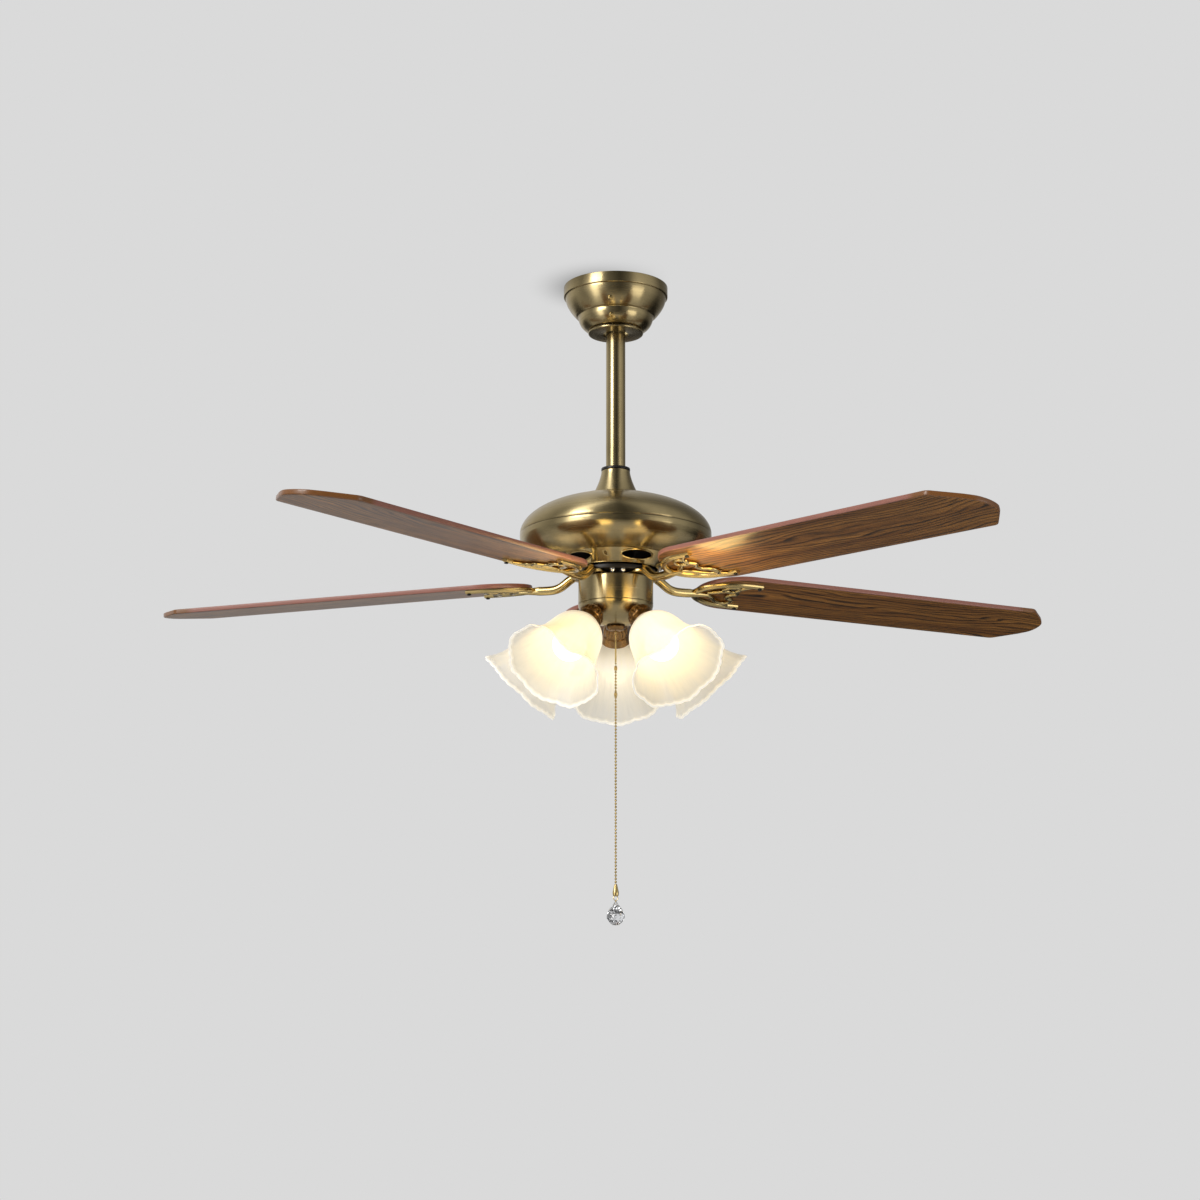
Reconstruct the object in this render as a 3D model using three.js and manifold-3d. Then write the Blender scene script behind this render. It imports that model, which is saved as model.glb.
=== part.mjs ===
// Ceiling fan with a five-lamp light kit, hung from the ceiling on a downrod.
// Millimetres, +Z up. The origin is on the ceiling plane, on the fan's own axis,
// so everything hangs below Z = 0.

import * as THREE from 'three';
import { mergeVertices } from 'three/addons/utils/BufferGeometryUtils.js';
import Module from 'manifold-3d';

const wasm = await Module();
wasm.setup();

// ---------------------------------------------------------------- driving dimensions

const GAP = 0.3; // clearance between pieces that touch
const COUNT = 5; // blades, blade irons and lamps
const STEP = (2 * Math.PI) / COUNT;
const degrees = THREE.MathUtils.degToRad;

// Sides of turned pieces, by how large they are.
const WIDE = 24;
const MIDDLE = 16;
const SMALL = 8;

const SWEEP_RADIUS = 660; // axis to blade tip
const BLADE = {
  firstAngle: degrees(21.5),
  halfWidth: 62,
  thickness: 6,
  rootStart: 120, // apex of the rounded root
  rootLength: 62, // length of the rounded part
  tipCut: 41, // where the corner cuts begin, back from the tip
  nose: 30, // half width of the rounded nose
  noseBack: 12,
  hinge: 200, // radius at which the height is given
  height: -397,
  pitch: degrees(7.5),
  droop: degrees(1.6),
};

const IRON = {
  barRadius: 6,
  plate: 4.7, // thickness of the pierced bracket
  apex: 114,
  centre: 178, // centre of the crescent's ellipses
  outer: 47,
  inner: 37,
  hornEnd: 212,
  padStart: 29,
  padHalfWidth: 11,
};

const LAMP = {
  firstAngle: degrees(18),
  radius: 67, // centre of the skirt ring
  height: -467,
  below: degrees(44), // how far the lamp's axis points below the horizontal
};
// Which way the folded lip of each glass faces, about the lamp's own axis.
const LIP_TURNS = [0, 0, 0, 54, -54].map(degrees);

// How far the pieces of each end sit below the level they are drawn at. The rod's length sets the first.
const LEVEL = { motor: -22, light: -16 };

const ROD_RADIUS = 13.25;
const CEILING = { ballRadius: 24, ballHeight: -36, ballPlay: 1.8, rodTop: -26, discHeight: -63.9 };
const MOTOR = { shaft: 8, radius: 82, top: -296, bottom: -345.5 };
const DOME = { radius: 130, height: 55, equator: -330, wall: 1.5, hole: 20 };
const VENT = { firstAngle: degrees(-65), halfWidth: 23, halfHeight: 8.6, radius: 68.9, height: -369.9 };
const CUP = { radius: 50.6, top: -398, bottom: -432, wall: 1.5 };
const CHAIN = { radius: 1.6, pivot: -512.6, top: -522.3, end: -805.7 };

// ---------------------------------------------------------------- materials

const finish = (color, roughness, metalness) => (
  new THREE.MeshStandardMaterial({ color, roughness, metalness }));
const brass = finish('#8f7d50', 0.34, 1);
const bronze = finish('#6b4a26', 0.36, 1);
const steel = finish('#b4b4b6', 0.35, 1);
const black = finish('#17130f', 0.5, 0.4);
const walnut = finish('#5b3415', 0.42, 0);
const frosted = finish('#fbe9c6', 0.5, 0);
const opal = finish('#fffdf4', 0.35, 0);
const porcelain = finish('#e9e4d8', 0.4, 0);
const plastic = finish('#2b2b2d', 0.55, 0);
const crystal = finish('#f2f4f7', 0.03, 0);

// ---------------------------------------------------------------- shaping helpers

// A closed, indexed geometry whose faces point out.
function tidy(geometry) {
  const bare = geometry.clone();
  bare.deleteAttribute('normal');
  bare.deleteAttribute('uv');
  const merged = mergeVertices(bare, 1e-4);
  const at = merged.getAttribute('position');
  const index = merged.getIndex().array;
  const faces = [];
  const corners = [0, 1, 2].map(() => new THREE.Vector3());
  let volume = 0;
  for (let i = 0; i < index.length; i += 3) {
    const [a, b, c] = index.slice(i, i + 3);
    if (a !== b && b !== c && c !== a) {
      faces.push([a, b, c]);
      [a, b, c].forEach((vertex, k) => corners[k].fromBufferAttribute(at, vertex));
      volume += corners[0].dot(corners[1].clone().cross(corners[2]));
    }
  }
  merged.setIndex(faces.flatMap(([a, b, c]) => (volume < 0 ? [a, c, b] : [a, b, c])));
  return merged;
}

function solid(geometry) {
  const closed = tidy(geometry);
  const vertProperties = new Float32Array(closed.getAttribute('position').array);
  const triVerts = new Uint32Array(closed.getIndex().array);
  return new wasm.Manifold(new wasm.Mesh({ numProp: 3, vertProperties, triVerts }));
}

function shell(manifold) {
  const mesh = manifold.getMesh();
  const geometry = new THREE.BufferGeometry();
  geometry.setAttribute('position', new THREE.BufferAttribute(new Float32Array(mesh.vertProperties), 3));
  geometry.setIndex(Array.from(mesh.triVerts));
  return geometry;
}

const join = (...pieces) => shell(pieces.map(solid).reduce((sum, piece) => sum.add(piece)));
const cut = (body, cutters) => shell(cutters.map(solid).reduce((rest, tool) => rest.subtract(tool), solid(body)));

// A profile of [radius, height] points turned about Z.
function turned(profile, sides) {
  const points = profile.map(([radius, height]) => new THREE.Vector2(radius, height));
  return tidy(new THREE.LatheGeometry(points, sides).rotateX(Math.PI / 2));
}

const loop = (profile) => [...profile, profile[0]];

function ring(inner, outer, low, high, sides) {
  return turned(loop([[inner, low], [outer, low], [outer, high], [inner, high]]), sides);
}

function rod(radius, low, high, sides) {
  return turned([[0, low], [radius, low], [radius, high], [0, high]], sides);
}

function block(x, y, z, width, depth, height) {
  return new THREE.BoxGeometry(width, depth, height).translate(x, y, z);
}

// A round bar along a list of [x, y, z] points.
function bar(points, radius, sides, steps) {
  const section = new THREE.Shape();
  section.absarc(0, 0, radius, 0, 2 * Math.PI, false);
  const along = points.map((point) => new THREE.Vector3(...point));
  const path = new THREE.CatmullRomCurve3(along, false, 'centripetal');
  const settings = { steps, extrudePath: path, curveSegments: sides / 2, bevelEnabled: false };
  return tidy(new THREE.ExtrudeGeometry(section, settings));
}

function slab(shape, depth, curveSegments) {
  return new THREE.ExtrudeGeometry(shape, { depth, curveSegments, bevelEnabled: false });
}

const fan = new THREE.Group();

function node(name, geometry, material, parent = fan) {
  const mesh = new THREE.Mesh(geometry, material);
  mesh.name = name;
  parent.add(mesh);
  return mesh;
}

function frameAt(angle, parent) {
  const group = new THREE.Group();
  group.rotation.z = angle;
  parent.add(group);
  return group;
}

function lowered(level) {
  const group = new THREE.Group();
  group.position.z = level;
  fan.add(group);
  return group;
}

const motorEnd = lowered(LEVEL.motor);
const lightEnd = lowered(LEVEL.light);

// ---------------------------------------------------------------- ceiling end

// Steel strap screwed to the ceiling box: a flat plate, two legs, and the seat that the ball hangs in.
function hangerBracket() {
  const plate = block(0, 0, -1.5, 96, 34, 3);
  const legs = [-1, 1].map((side) => block(side * 27.6, 0, -25, 3.2, 18, 45));
  const seat = turned(loop([[22.3, -49], [29.4, -49], [29.4, -42], [24.7, -42]]), MIDDLE);
  const wireHole = rod(6, -5, 1, SMALL).translate(36, 0, 0);
  const openSides = block(0, 0, -46, 30, 70, 12); // leaves two ledges under the ball, one on each leg
  return cut(join(plate, seat, ...legs), [wireHole, openSides]);
}

function canopy() {
  const outside = [[72, 0], [72, -14.3], [70, -15], [66.4, -24], [58, -37.5], [51.3, -42.6], [51.3, -45],
    [47.6, -54.4], [39, -61.2], [33, -62]];
  const inside = [[33, -60.6], [38.4, -59.8], [46.2, -53.6], [49.9, -44.6], [49.9, -41.6], [57, -36.4],
    [65, -23.4], [70.8, -12], [70.8, 0]];
  return turned(loop([...outside, ...inside]), WIDE);
}

// A small pan-head screw that stands on the canopy, facing out along its own axis.
function canopyScrew(index, radius, height, lean) {
  const head = turned([[0, 0], [3.3, 0], [3.3, 1], [2.2, 2], [0, 2.3]], SMALL);
  head.rotateY(Math.PI / 2 + lean).translate(radius, 0, height).rotateZ(degrees(-97));
  return node(`canopy_screw_${index}`, head, brass);
}

// The ball that carries the rod and lets the fan hang plumb.
function hangerBall() {
  const arc = [];
  const steps = 6;
  for (let i = 0; i <= steps; i += 1) {
    const angle = degrees(-52 + (82 * i) / steps);
    arc.push([CEILING.ballRadius * Math.cos(angle), CEILING.ballHeight + CEILING.ballRadius * Math.sin(angle)]);
  }
  const bore = ROD_RADIUS + CEILING.ballPlay; // room for the rod to tilt about its pin
  return turned(loop([...arc, [bore, arc[steps][1]], [bore, arc[0][1]]]), MIDDLE);
}

node('hanger_bracket', hangerBracket(), steel);
node('canopy', canopy(), brass);
node('canopy_disc', ring(17, 38, CEILING.discHeight - 3.4, CEILING.discHeight, WIDE), brass);
canopyScrew(1, 61.6, -34.2, degrees(35));
canopyScrew(2, 48.6, -54.6, degrees(40));
node('hanger_ball', hangerBall(), black);

// ---------------------------------------------------------------- downrod, yoke and motor

const pinBore = rod(2.8, -25, 25, SMALL).rotateY(Math.PI / 2).translate(0, 0, -261);

function yoke() {
  const bore = ROD_RADIUS + GAP;
  const body = turned(loop([[bore, -254], [17.5, -254], [17.5, -279.2], [28, -279.2], [28, -282],
    [5, -282], [5, -269], [bore, -269]]), MIDDLE);
  return cut(body, [pinBore]);
}

function yokeCover() {
  return turned(loop([[13.6, -240.5], [19.5, -240.5], [20.9, -248], [24.2, -258.5], [31.5, -274.3],
    [29.9, -274.3], [22.8, -259], [19.5, -248.5], [18.2, -241.9], [13.6, -241.9]]), MIDDLE);
}

node('downrod',
  cut(ring(11.4, ROD_RADIUS, -268.6, CEILING.rodTop - LEVEL.motor, MIDDLE), [pinBore]), brass, motorEnd);
node('rod_collar', ring(ROD_RADIUS + GAP, 19.7, -240.2, -236.5, MIDDLE), black, motorEnd);
node('yoke_cover', yokeCover(), brass, motorEnd);
node('motor_yoke', yoke(), steel, motorEnd);
node('yoke_pin', rod(2.5, -17.2, 17.2, SMALL).rotateY(Math.PI / 2).translate(0, 0, -261), steel, motorEnd);
node('motor_shaft', ring(4, MOTOR.shaft, -397, -282.3, MIDDLE), steel, motorEnd);

// Laminated stator: a slotted disc around the fixed shaft.
function stator() {
  const stack = ring(MOTOR.shaft + GAP, 66, -336, -308, WIDE);
  const slots = Array.from({ length: 12 }, (_, i) => (
    block(60, 0, -322, 16, 7, 40).rotateZ((i * Math.PI) / 6)));
  return cut(stack, slots);
}

function motorRotor() {
  return turned(loop([[17.3, -300], [17.3, -291], [21, -291], [21, MOTOR.top], [MOTOR.radius - 4, MOTOR.top],
    [MOTOR.radius, MOTOR.top - 4], [MOTOR.radius, MOTOR.bottom], [MOTOR.radius - 3, MOTOR.bottom],
    [MOTOR.radius - 3, MOTOR.top - 4], [21, MOTOR.top - 4]]), WIDE);
}

// The flywheel closes the spinning motor case and carries the blade irons on its lower flange.
function flywheel() {
  return turned(loop([[14, -386], [54, -386], [54, -380], [24, -380], [24, -350], [80, -350], [80, -345.8],
    [14, -345.8]]), WIDE);
}

node('motor_stator', stator(), steel, motorEnd);
node('motor_rotor', motorRotor(), steel, motorEnd);
node('bearing_upper', ring(MOTOR.shaft + GAP, 17, -299.6, -292, MIDDLE), steel, motorEnd);
node('bearing_lower', ring(MOTOR.shaft + GAP, 13.7, -385.6, -376, MIDDLE), steel, motorEnd);
node('flywheel', flywheel(), black, motorEnd);

// ---------------------------------------------------------------- motor housing

function domeArc(inset, count) {
  const points = [];
  const width = DOME.radius - inset;
  const last = Math.acos(DOME.hole / width);
  for (let i = 0; i <= count; i += 1) {
    const angle = (last * i) / count;
    points.push([width * Math.cos(angle), DOME.equator + (DOME.height - inset) * Math.sin(angle)]);
  }
  return points;
}

function housingUpper() {
  return turned(loop([...domeArc(0, 7), ...domeArc(DOME.wall, 7).reverse()]), WIDE);
}

// The lower bowl with its vent plate and the oval vents cut through it.
function housingLower() {
  const top = DOME.equator - GAP;
  const outside = [[130, top], [130, -334], [126.6, -343.6], [117, -352.4], [97, -359.8], [77, -363.2],
    [59, -378]];
  const inside = [[57.2, -376.9], [76.5, -361.5], [96.6, -358], [116, -350.8], [125.2, -342.6],
    [128.5, -333.8], [128.5, top]];
  const slope = Math.atan2(14.8, 18);
  const vents = Array.from({ length: COUNT }, (_, i) => (
    new THREE.CylinderGeometry(1, 1, 24, 16)
      .rotateX(Math.PI / 2)
      .scale(VENT.halfHeight, VENT.halfWidth, 1)
      .rotateY(Math.PI - slope)
      .translate(VENT.radius, 0, VENT.height)
      .rotateZ(VENT.firstAngle + i * STEP)));
  return cut(turned(loop([...outside, ...inside]), WIDE), vents);
}

node('housing_upper', housingUpper(), brass, motorEnd);
node('housing_lower', housingLower(), brass, motorEnd);

// ---------------------------------------------------------------- blades and blade irons

// Blade frame: origin on the blade's middle plane at BLADE.hinge, pitched and drooping.
const bladeFrame = new THREE.Matrix4().makeRotationFromEuler(
  new THREE.Euler(-BLADE.pitch, BLADE.droop, 0, 'ZYX'),
);
bladeFrame.setPosition(BLADE.hinge, 0, BLADE.height);

function bladeShape() {
  const half = BLADE.halfWidth;
  const shape = new THREE.Shape();
  const shoulder = BLADE.rootStart + BLADE.rootLength - BLADE.hinge;
  const tip = SWEEP_RADIUS - BLADE.hinge;
  shape.moveTo(shoulder, -half);
  shape.lineTo(tip - BLADE.tipCut, -half);
  shape.lineTo(tip - BLADE.noseBack, -BLADE.nose);
  shape.quadraticCurveTo(tip, -BLADE.nose * 0.7, tip, 0);
  shape.quadraticCurveTo(tip, BLADE.nose * 0.7, tip - BLADE.noseBack, BLADE.nose);
  shape.lineTo(tip - BLADE.tipCut, half);
  shape.lineTo(shoulder, half);
  shape.absellipse(shoulder, 0, BLADE.rootLength, half, Math.PI / 2, (3 * Math.PI) / 2, false, 0);
  return shape;
}

const bladeSolid = slab(bladeShape(), BLADE.thickness, 6).translate(0, 0, -BLADE.thickness / 2);
bladeSolid.applyMatrix4(bladeFrame);

// Pierced bracket: a crescent that follows the blade's root, two horns, and a leaf between them.
function bracketShape() {
  const centre = IRON.centre - BLADE.hinge;
  const horn = IRON.hornEnd - BLADE.hinge;
  const depth = IRON.centre - IRON.apex;
  const shape = new THREE.Shape();
  shape.moveTo(horn, -IRON.inner);
  shape.lineTo(horn, -IRON.outer);
  shape.lineTo(centre, -IRON.outer);
  shape.absellipse(centre, 0, depth, IRON.outer, (3 * Math.PI) / 2, Math.PI / 2, true, 0);
  shape.lineTo(horn, IRON.outer);
  shape.lineTo(horn, IRON.inner);
  shape.lineTo(centre + 4, IRON.inner);
  shape.quadraticCurveTo(centre - 14, IRON.inner - 4, centre - 12, 13);
  shape.quadraticCurveTo(centre + 4, 9, centre + 8, 0);
  shape.quadraticCurveTo(centre + 4, -9, centre - 12, -13);
  shape.quadraticCurveTo(centre - 14, -IRON.inner + 4, centre + 4, -IRON.inner);
  const leaf = new THREE.Path();
  leaf.absellipse(centre - 8, 0, 9, 4.5, 0, 2 * Math.PI, false, 0);
  shape.holes.push(leaf);
  [-1, 1].forEach((side) => {
    const eye = new THREE.Path();
    eye.absellipse(centre - 30, side * 18, 9, 8, 0, 2 * Math.PI, false, 0);
    shape.holes.push(eye);
  });
  return shape;
}

function bladeIron() {
  const armRoute = [[55.5, 0, -385.8], [61, 0, -386.6], [71, 0, -393.5], [82, 0, -400.2], [95, 0, -401.8],
    [118, 0, -401.4]];
  const arm = bar(armRoute, IRON.barRadius, 8, 9);
  const pad = block((IRON.padStart + 60) / 2, 0, -388.5, 60 - IRON.padStart, 2 * IRON.padHalfWidth, 4.2);
  const underside = -BLADE.thickness / 2 - GAP - IRON.plate;
  const bracket = slab(bracketShape(), IRON.plate, 5).translate(0, 0, underside);
  bracket.applyMatrix4(bladeFrame);
  return join(arm, pad, bracket);
}

const ironSolid = bladeIron();
for (let i = 0; i < COUNT; i += 1) {
  const spoke = frameAt(BLADE.firstAngle + i * STEP, motorEnd);
  node(`blade_iron_${i + 1}`, ironSolid, brass, spoke);
  node(`blade_${i + 1}`, bladeSolid, walnut, spoke);
}

// ---------------------------------------------------------------- switch cup and light kit

function switchCup() {
  const inside = CUP.radius - CUP.wall;
  return turned(loop([[MOTOR.shaft + GAP, CUP.top], [CUP.radius, CUP.top], [CUP.radius, CUP.bottom],
    [inside, CUP.bottom], [inside, CUP.top - CUP.wall], [MOTOR.shaft + GAP, CUP.top - CUP.wall]]), WIDE);
}

// Turns a piece from a lamp's own axis (+Z out of the lamp) into the frame of its spoke.
const lampTurn = Math.PI / 2 + LAMP.below;

function lightFitter() {
  const top = CUP.bottom - GAP;
  const outside = [[50.6, top], [50.6, -434], [44.5, -446], [31, -456], [9.5, -461.5]];
  const inside = [[9.5, -460], [30.2, -454.6], [43.2, -445.2], [49.1, -433.6], [49.1, top]];
  const sockets = Array.from({ length: COUNT }, (_, i) => (
    rod(7.6, -44, -20, SMALL + 2)
      .rotateY(lampTurn)
      .translate(LAMP.radius, 0, LAMP.height)
      .rotateZ(LAMP.firstAngle + i * STEP)));
  return cut(turned(loop([...outside, ...inside]), MIDDLE), sockets);
}

function lampHolder() {
  return turned(loop([[3, -37], [7, -37], [7, -27], [12, -25], [16, -19.4], [17.2, -9], [20.5, 1.5],
    [19.4, 1.5], [15.6, -8], [15.6, -20], [3, -22.5]]), MIDDLE);
}

function lampSocket() {
  return turned(loop([[2, -19.4], [14.6, -19.4], [14.6, 6], [13.1, 6], [13.1, -17.4], [2, -17.4]]), SMALL);
}

function bulb() {
  return turned([[0, -16.8], [12.6, -16.8], [12.6, 30], [20, 38.6], [22.5, 49], [20, 59.4], [12, 68],
    [0, 71.5]], SMALL);
}

// A frosted glass bell with a flared mouth, whose lip is folded in on one side.
function shade(lipTurn) {
  const outside = [[16.8, -3], [18.2, 2], [32.5, 15], [38.6, 30], [41, 56], [50, 78], [65.4, 97]];
  const inside = [[63, 97.6], [47.4, 78], [38.6, 57], [36.2, 30.6], [30.2, 16.4], [16, 3.6], [15, -3]];
  const glass = turned(loop([...outside, ...inside]), 16);
  const at = glass.getAttribute('position');
  const straight = 38;
  const halfFold = degrees(48);
  for (let i = 0; i < at.count; i += 1) {
    const radius = Math.hypot(at.getX(i), at.getY(i));
    const away = Math.atan2(at.getY(i), at.getX(i)) - (Math.PI - lipTurn);
    const angle = Math.abs(Math.atan2(Math.sin(away), Math.cos(away)));
    const fold = angle < halfFold ? Math.cos((angle / halfFold) * (Math.PI / 2)) ** 2 : 0;
    const flare = Math.max(0, radius - straight) * THREE.MathUtils.smoothstep(at.getZ(i), 50, 80);
    const scale = (radius - 0.9 * fold * flare) / radius;
    at.setXY(i, at.getX(i) * scale, at.getY(i) * scale);
  }
  return glass;
}

function placeLamp(index) {
  const spoke = frameAt(LAMP.firstAngle + index * STEP, lightEnd);
  const lamp = new THREE.Group();
  lamp.position.set(LAMP.radius, 0, LAMP.height);
  lamp.rotation.y = lampTurn;
  spoke.add(lamp);
  node(`lamp_holder_${index + 1}`, lampHolder(), bronze, lamp);
  node(`lamp_socket_${index + 1}`, lampSocket(), porcelain, lamp);
  node(`bulb_${index + 1}`, bulb(), opal, lamp);
  node(`shade_${index + 1}`, shade(LIP_TURNS[index]), frosted, lamp);
}

node('switch_cup', switchCup(), brass, lightEnd);
node('capacitor', block(27, 0, -414, 20, 34, 26), plastic, lightEnd);
node('light_fitter', lightFitter(), brass, lightEnd);
node('fitter_cap',
  turned(loop([[4, -461.8], [13, -461.8], [13, -464], [9, -467.5], [4, -468.5]]), MIDDLE), bronze, lightEnd);
node('pull_switch', block(0, 0, -440, 22, 20, 24), plastic, lightEnd);
for (let i = 0; i < COUNT; i += 1) {
  placeLamp(i);
}

// ---------------------------------------------------------------- pull chain

node('chain_stem',
  turned([[0, -511], [1.1, -511], [1.1, -456], [3, -456], [3, -452.4], [0, -452.4]], SMALL), brass, lightEnd);
node('chain_link',
  new THREE.SphereGeometry(1.3, 10, 6).rotateX(Math.PI / 2).translate(0, 0, CHAIN.pivot), brass, lightEnd);
node('chain_coupling',
  turned([[0, -522], [1.7, -522], [2.2, -518], [1.4, -515], [0, -515]], SMALL), brass, lightEnd);
node('pull_chain', bar([[0, 0, CHAIN.end], [0, 0, CHAIN.top]], CHAIN.radius, 8, 28), brass, lightEnd);
node('chain_bell',
  turned([[0, -822], [3.6, -822], [4.2, -817], [2.6, -811], [1.6, -806], [0, -806]], SMALL), brass, lightEnd);
node('crystal_drop', turned([[0, -860], [7, -857.4], [12, -849.5], [10.6, -842], [5.4, -833.4], [1.2, -828.3],
  [1.2, -822.3], [0, -822.3]], 10), crystal, lightEnd);

export default fan;
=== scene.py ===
import math

import bmesh
import bpy
import numpy as np
from bpy.props import FloatProperty, FloatVectorProperty, IntProperty, PointerProperty
from mathutils import Euler, Matrix, Vector


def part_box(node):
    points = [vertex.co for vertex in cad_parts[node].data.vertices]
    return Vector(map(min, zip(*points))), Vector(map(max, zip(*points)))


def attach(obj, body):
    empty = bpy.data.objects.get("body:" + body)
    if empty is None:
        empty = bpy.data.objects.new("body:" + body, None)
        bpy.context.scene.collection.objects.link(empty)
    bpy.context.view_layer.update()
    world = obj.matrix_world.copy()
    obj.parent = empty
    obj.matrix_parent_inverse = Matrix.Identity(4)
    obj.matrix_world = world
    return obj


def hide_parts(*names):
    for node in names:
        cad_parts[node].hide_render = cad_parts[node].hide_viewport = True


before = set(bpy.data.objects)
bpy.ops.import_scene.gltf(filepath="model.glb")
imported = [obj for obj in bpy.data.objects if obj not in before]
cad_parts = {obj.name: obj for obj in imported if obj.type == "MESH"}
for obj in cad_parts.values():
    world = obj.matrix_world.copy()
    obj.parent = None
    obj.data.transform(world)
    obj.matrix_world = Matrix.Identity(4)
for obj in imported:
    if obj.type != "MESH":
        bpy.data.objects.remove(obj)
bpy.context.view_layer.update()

bl_info = {
    "name": "Ceiling fan with lamps",
    "version": (1, 0, 0),
    "blender": (4, 5, 0),
    "location": "3D View > Sidebar > Fan",
    "description": "Builds the finished surfaces and materials of a five-blade ceiling fan",
    "category": "Object",
}

MM = 0.001
COUNT = 5
TURN = 2 * math.pi

# ------------------------------------------------------------------ sizes, in millimetres and radians

BLADE_FIRST = math.radians(21.5)
LAMP_FIRST = math.radians(18)
VENT_FIRST = math.radians(-65)
STEP = TURN / COUNT
VENT_WIDE = 23.0
VENT_HIGH = 8.4
VENT_PLACE = 0.45
# The vent plate is a cone from its upper rim to its lower one, each (radius, height).
VENT_TOP = np.array([77.2, -363.2])
VENT_LOW = np.array([59.4, -378.0])
VENT_SLANT = np.linalg.norm(VENT_LOW - VENT_TOP)
VENT_RADIUS = 68.9
SWEEP = 660.0
BLADE_HALF = 62.0
BLADE_THICK = 6.0
BLADE_HINGE = (200.0, 0.0, -397.0)
BLADE_PITCH = math.radians(7.5)
BLADE_DROOP = math.radians(1.6)
BRACKET_LEVEL = -BLADE_THICK / 2 - 0.3
VINE_LEVEL = BRACKET_LEVEL - 1.9
LAMP_PLACE = (67.0, 0.0, -467.0)
LAMP_BELOW = math.radians(44)
LIP_TURNS = [math.radians(a) for a in (0, 0, 0, 54, -54)]
ROD_RADIUS = 13.25
DOME_RADIUS = 130.0
DOME_HEIGHT = 55.0
EQUATOR = -330.0
CUP_RADIUS = 50.6
CHAIN_TOP = -522.3
CHAIN_END = -805.7
BULB_CENTRE = 84.0
# How far the pieces of each end sit below the level their shapes are drawn at.
MOTOR_LEVEL = -22.0
LIGHT_LEVEL = -16.0
BODY_LEVEL = {"ceiling_plate": 0.0, "hanger": 0.0, "rotor": MOTOR_LEVEL, "chain_switch": LIGHT_LEVEL,
              "chain_joint": LIGHT_LEVEL, "chain": LIGHT_LEVEL}

# ------------------------------------------------------------------ stage, in metres

CAMERA_PLACE = (0.0, -2.879, -1.022)
CAMERA_TILT = 0.199
CAMERA_SHIFT = -0.013083
LENS = 65.34
BACKGROUND = 0.7011
KEY_LAMPS = [
    # name, place, width, power, colour
    ("key", (-2.2, -2.4, 0.9), 1.4, 42, (1.0, 0.98, 0.95)),
    ("fill", (2.4, -1.8, -1.3), 1.6, 16, (1.0, 0.97, 0.92)),
]
GLEAMS = [("gleam_right", (0.115, -0.19, -0.46), 0.42), ("gleam_left", (-0.06, -0.22, -0.47), 0.3)]
GLEAM_COLOUR = (1.0, 0.74, 0.28)
GLOW_COLOUR = (1.0, 0.88, 0.68)
# Brightness of the soft boxes and dark cards round the fan, by bearing: 0.5 is the camera's side.
CARDS = [(0.0, 0.66), (0.17, 0.72), (0.28, 0.34), (0.325, 0.9), (0.345, 3.4), (0.375, 3.4), (0.395, 0.8),
         (0.45, 0.22), (0.53, 0.06), (0.58, 0.20), (0.64, 0.70), (0.74, 0.55), (0.82, 0.16), (0.93, 0.22),
         (1.0, 0.66)]


# ------------------------------------------------------------------ shapes worked out with numpy

def fillet(points, radius=0.6, steps=3, closed=True):
    """Every corner becomes a quadratic arc: start*(1-t)^2 + corner*2t(1-t) + end*t^2."""
    p = np.array(points, float)
    before, after = np.roll(p, 1, 0), np.roll(p, -1, 0)
    into, out = before - p, after - p
    long_in = np.linalg.norm(into, axis=1, keepdims=True)
    long_out = np.linalg.norm(out, axis=1, keepdims=True)
    start = p + into / long_in * np.minimum(radius, 0.45 * long_in)
    end = p + out / long_out * np.minimum(radius, 0.45 * long_out)
    if not closed:
        start[0] = end[0] = p[0]
        start[-1] = end[-1] = p[-1]
    t = np.linspace(0, 1, steps + 1)[None, :, None]
    arcs = start[:, None] * (1 - t) ** 2 + p[:, None] * 2 * t * (1 - t) + end[:, None] * t ** 2
    if not closed:
        return np.concatenate([p[:1], arcs[1:-1].reshape(-1, 2), p[-1:]])
    return arcs.reshape(-1, 2)


def flowing(points, steps=6, closed=False):
    """A Catmull-Rom curve through the points, with the given steps between each two."""
    p = np.array(points, float)
    if closed:
        p = np.concatenate([p[-1:], p, p[:2]])
    else:
        p = np.concatenate([2 * p[:1] - p[1:2], p, 2 * p[-1:] - p[-2:-1]])
    a, b, c, d = (p[k:len(p) - 3 + k][:, None] for k in range(4))
    t = np.linspace(0, 1, steps, endpoint=False)[None, :, None]
    curve = 2 * b + (c - a) * t + (2 * a - 5 * b + 4 * c - d) * t ** 2
    curve = 0.5 * (curve + (3 * b - a - 3 * c + d) * t ** 3)
    curve = curve.reshape(-1, p.shape[1])
    return curve if closed else np.concatenate([curve, p[-2:-1]])


def along(points):
    """Distance walked along a line of points, from its start."""
    steps = np.linalg.norm(np.diff(points, axis=0), axis=1)
    return np.concatenate([[0], np.cumsum(steps)])


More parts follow.
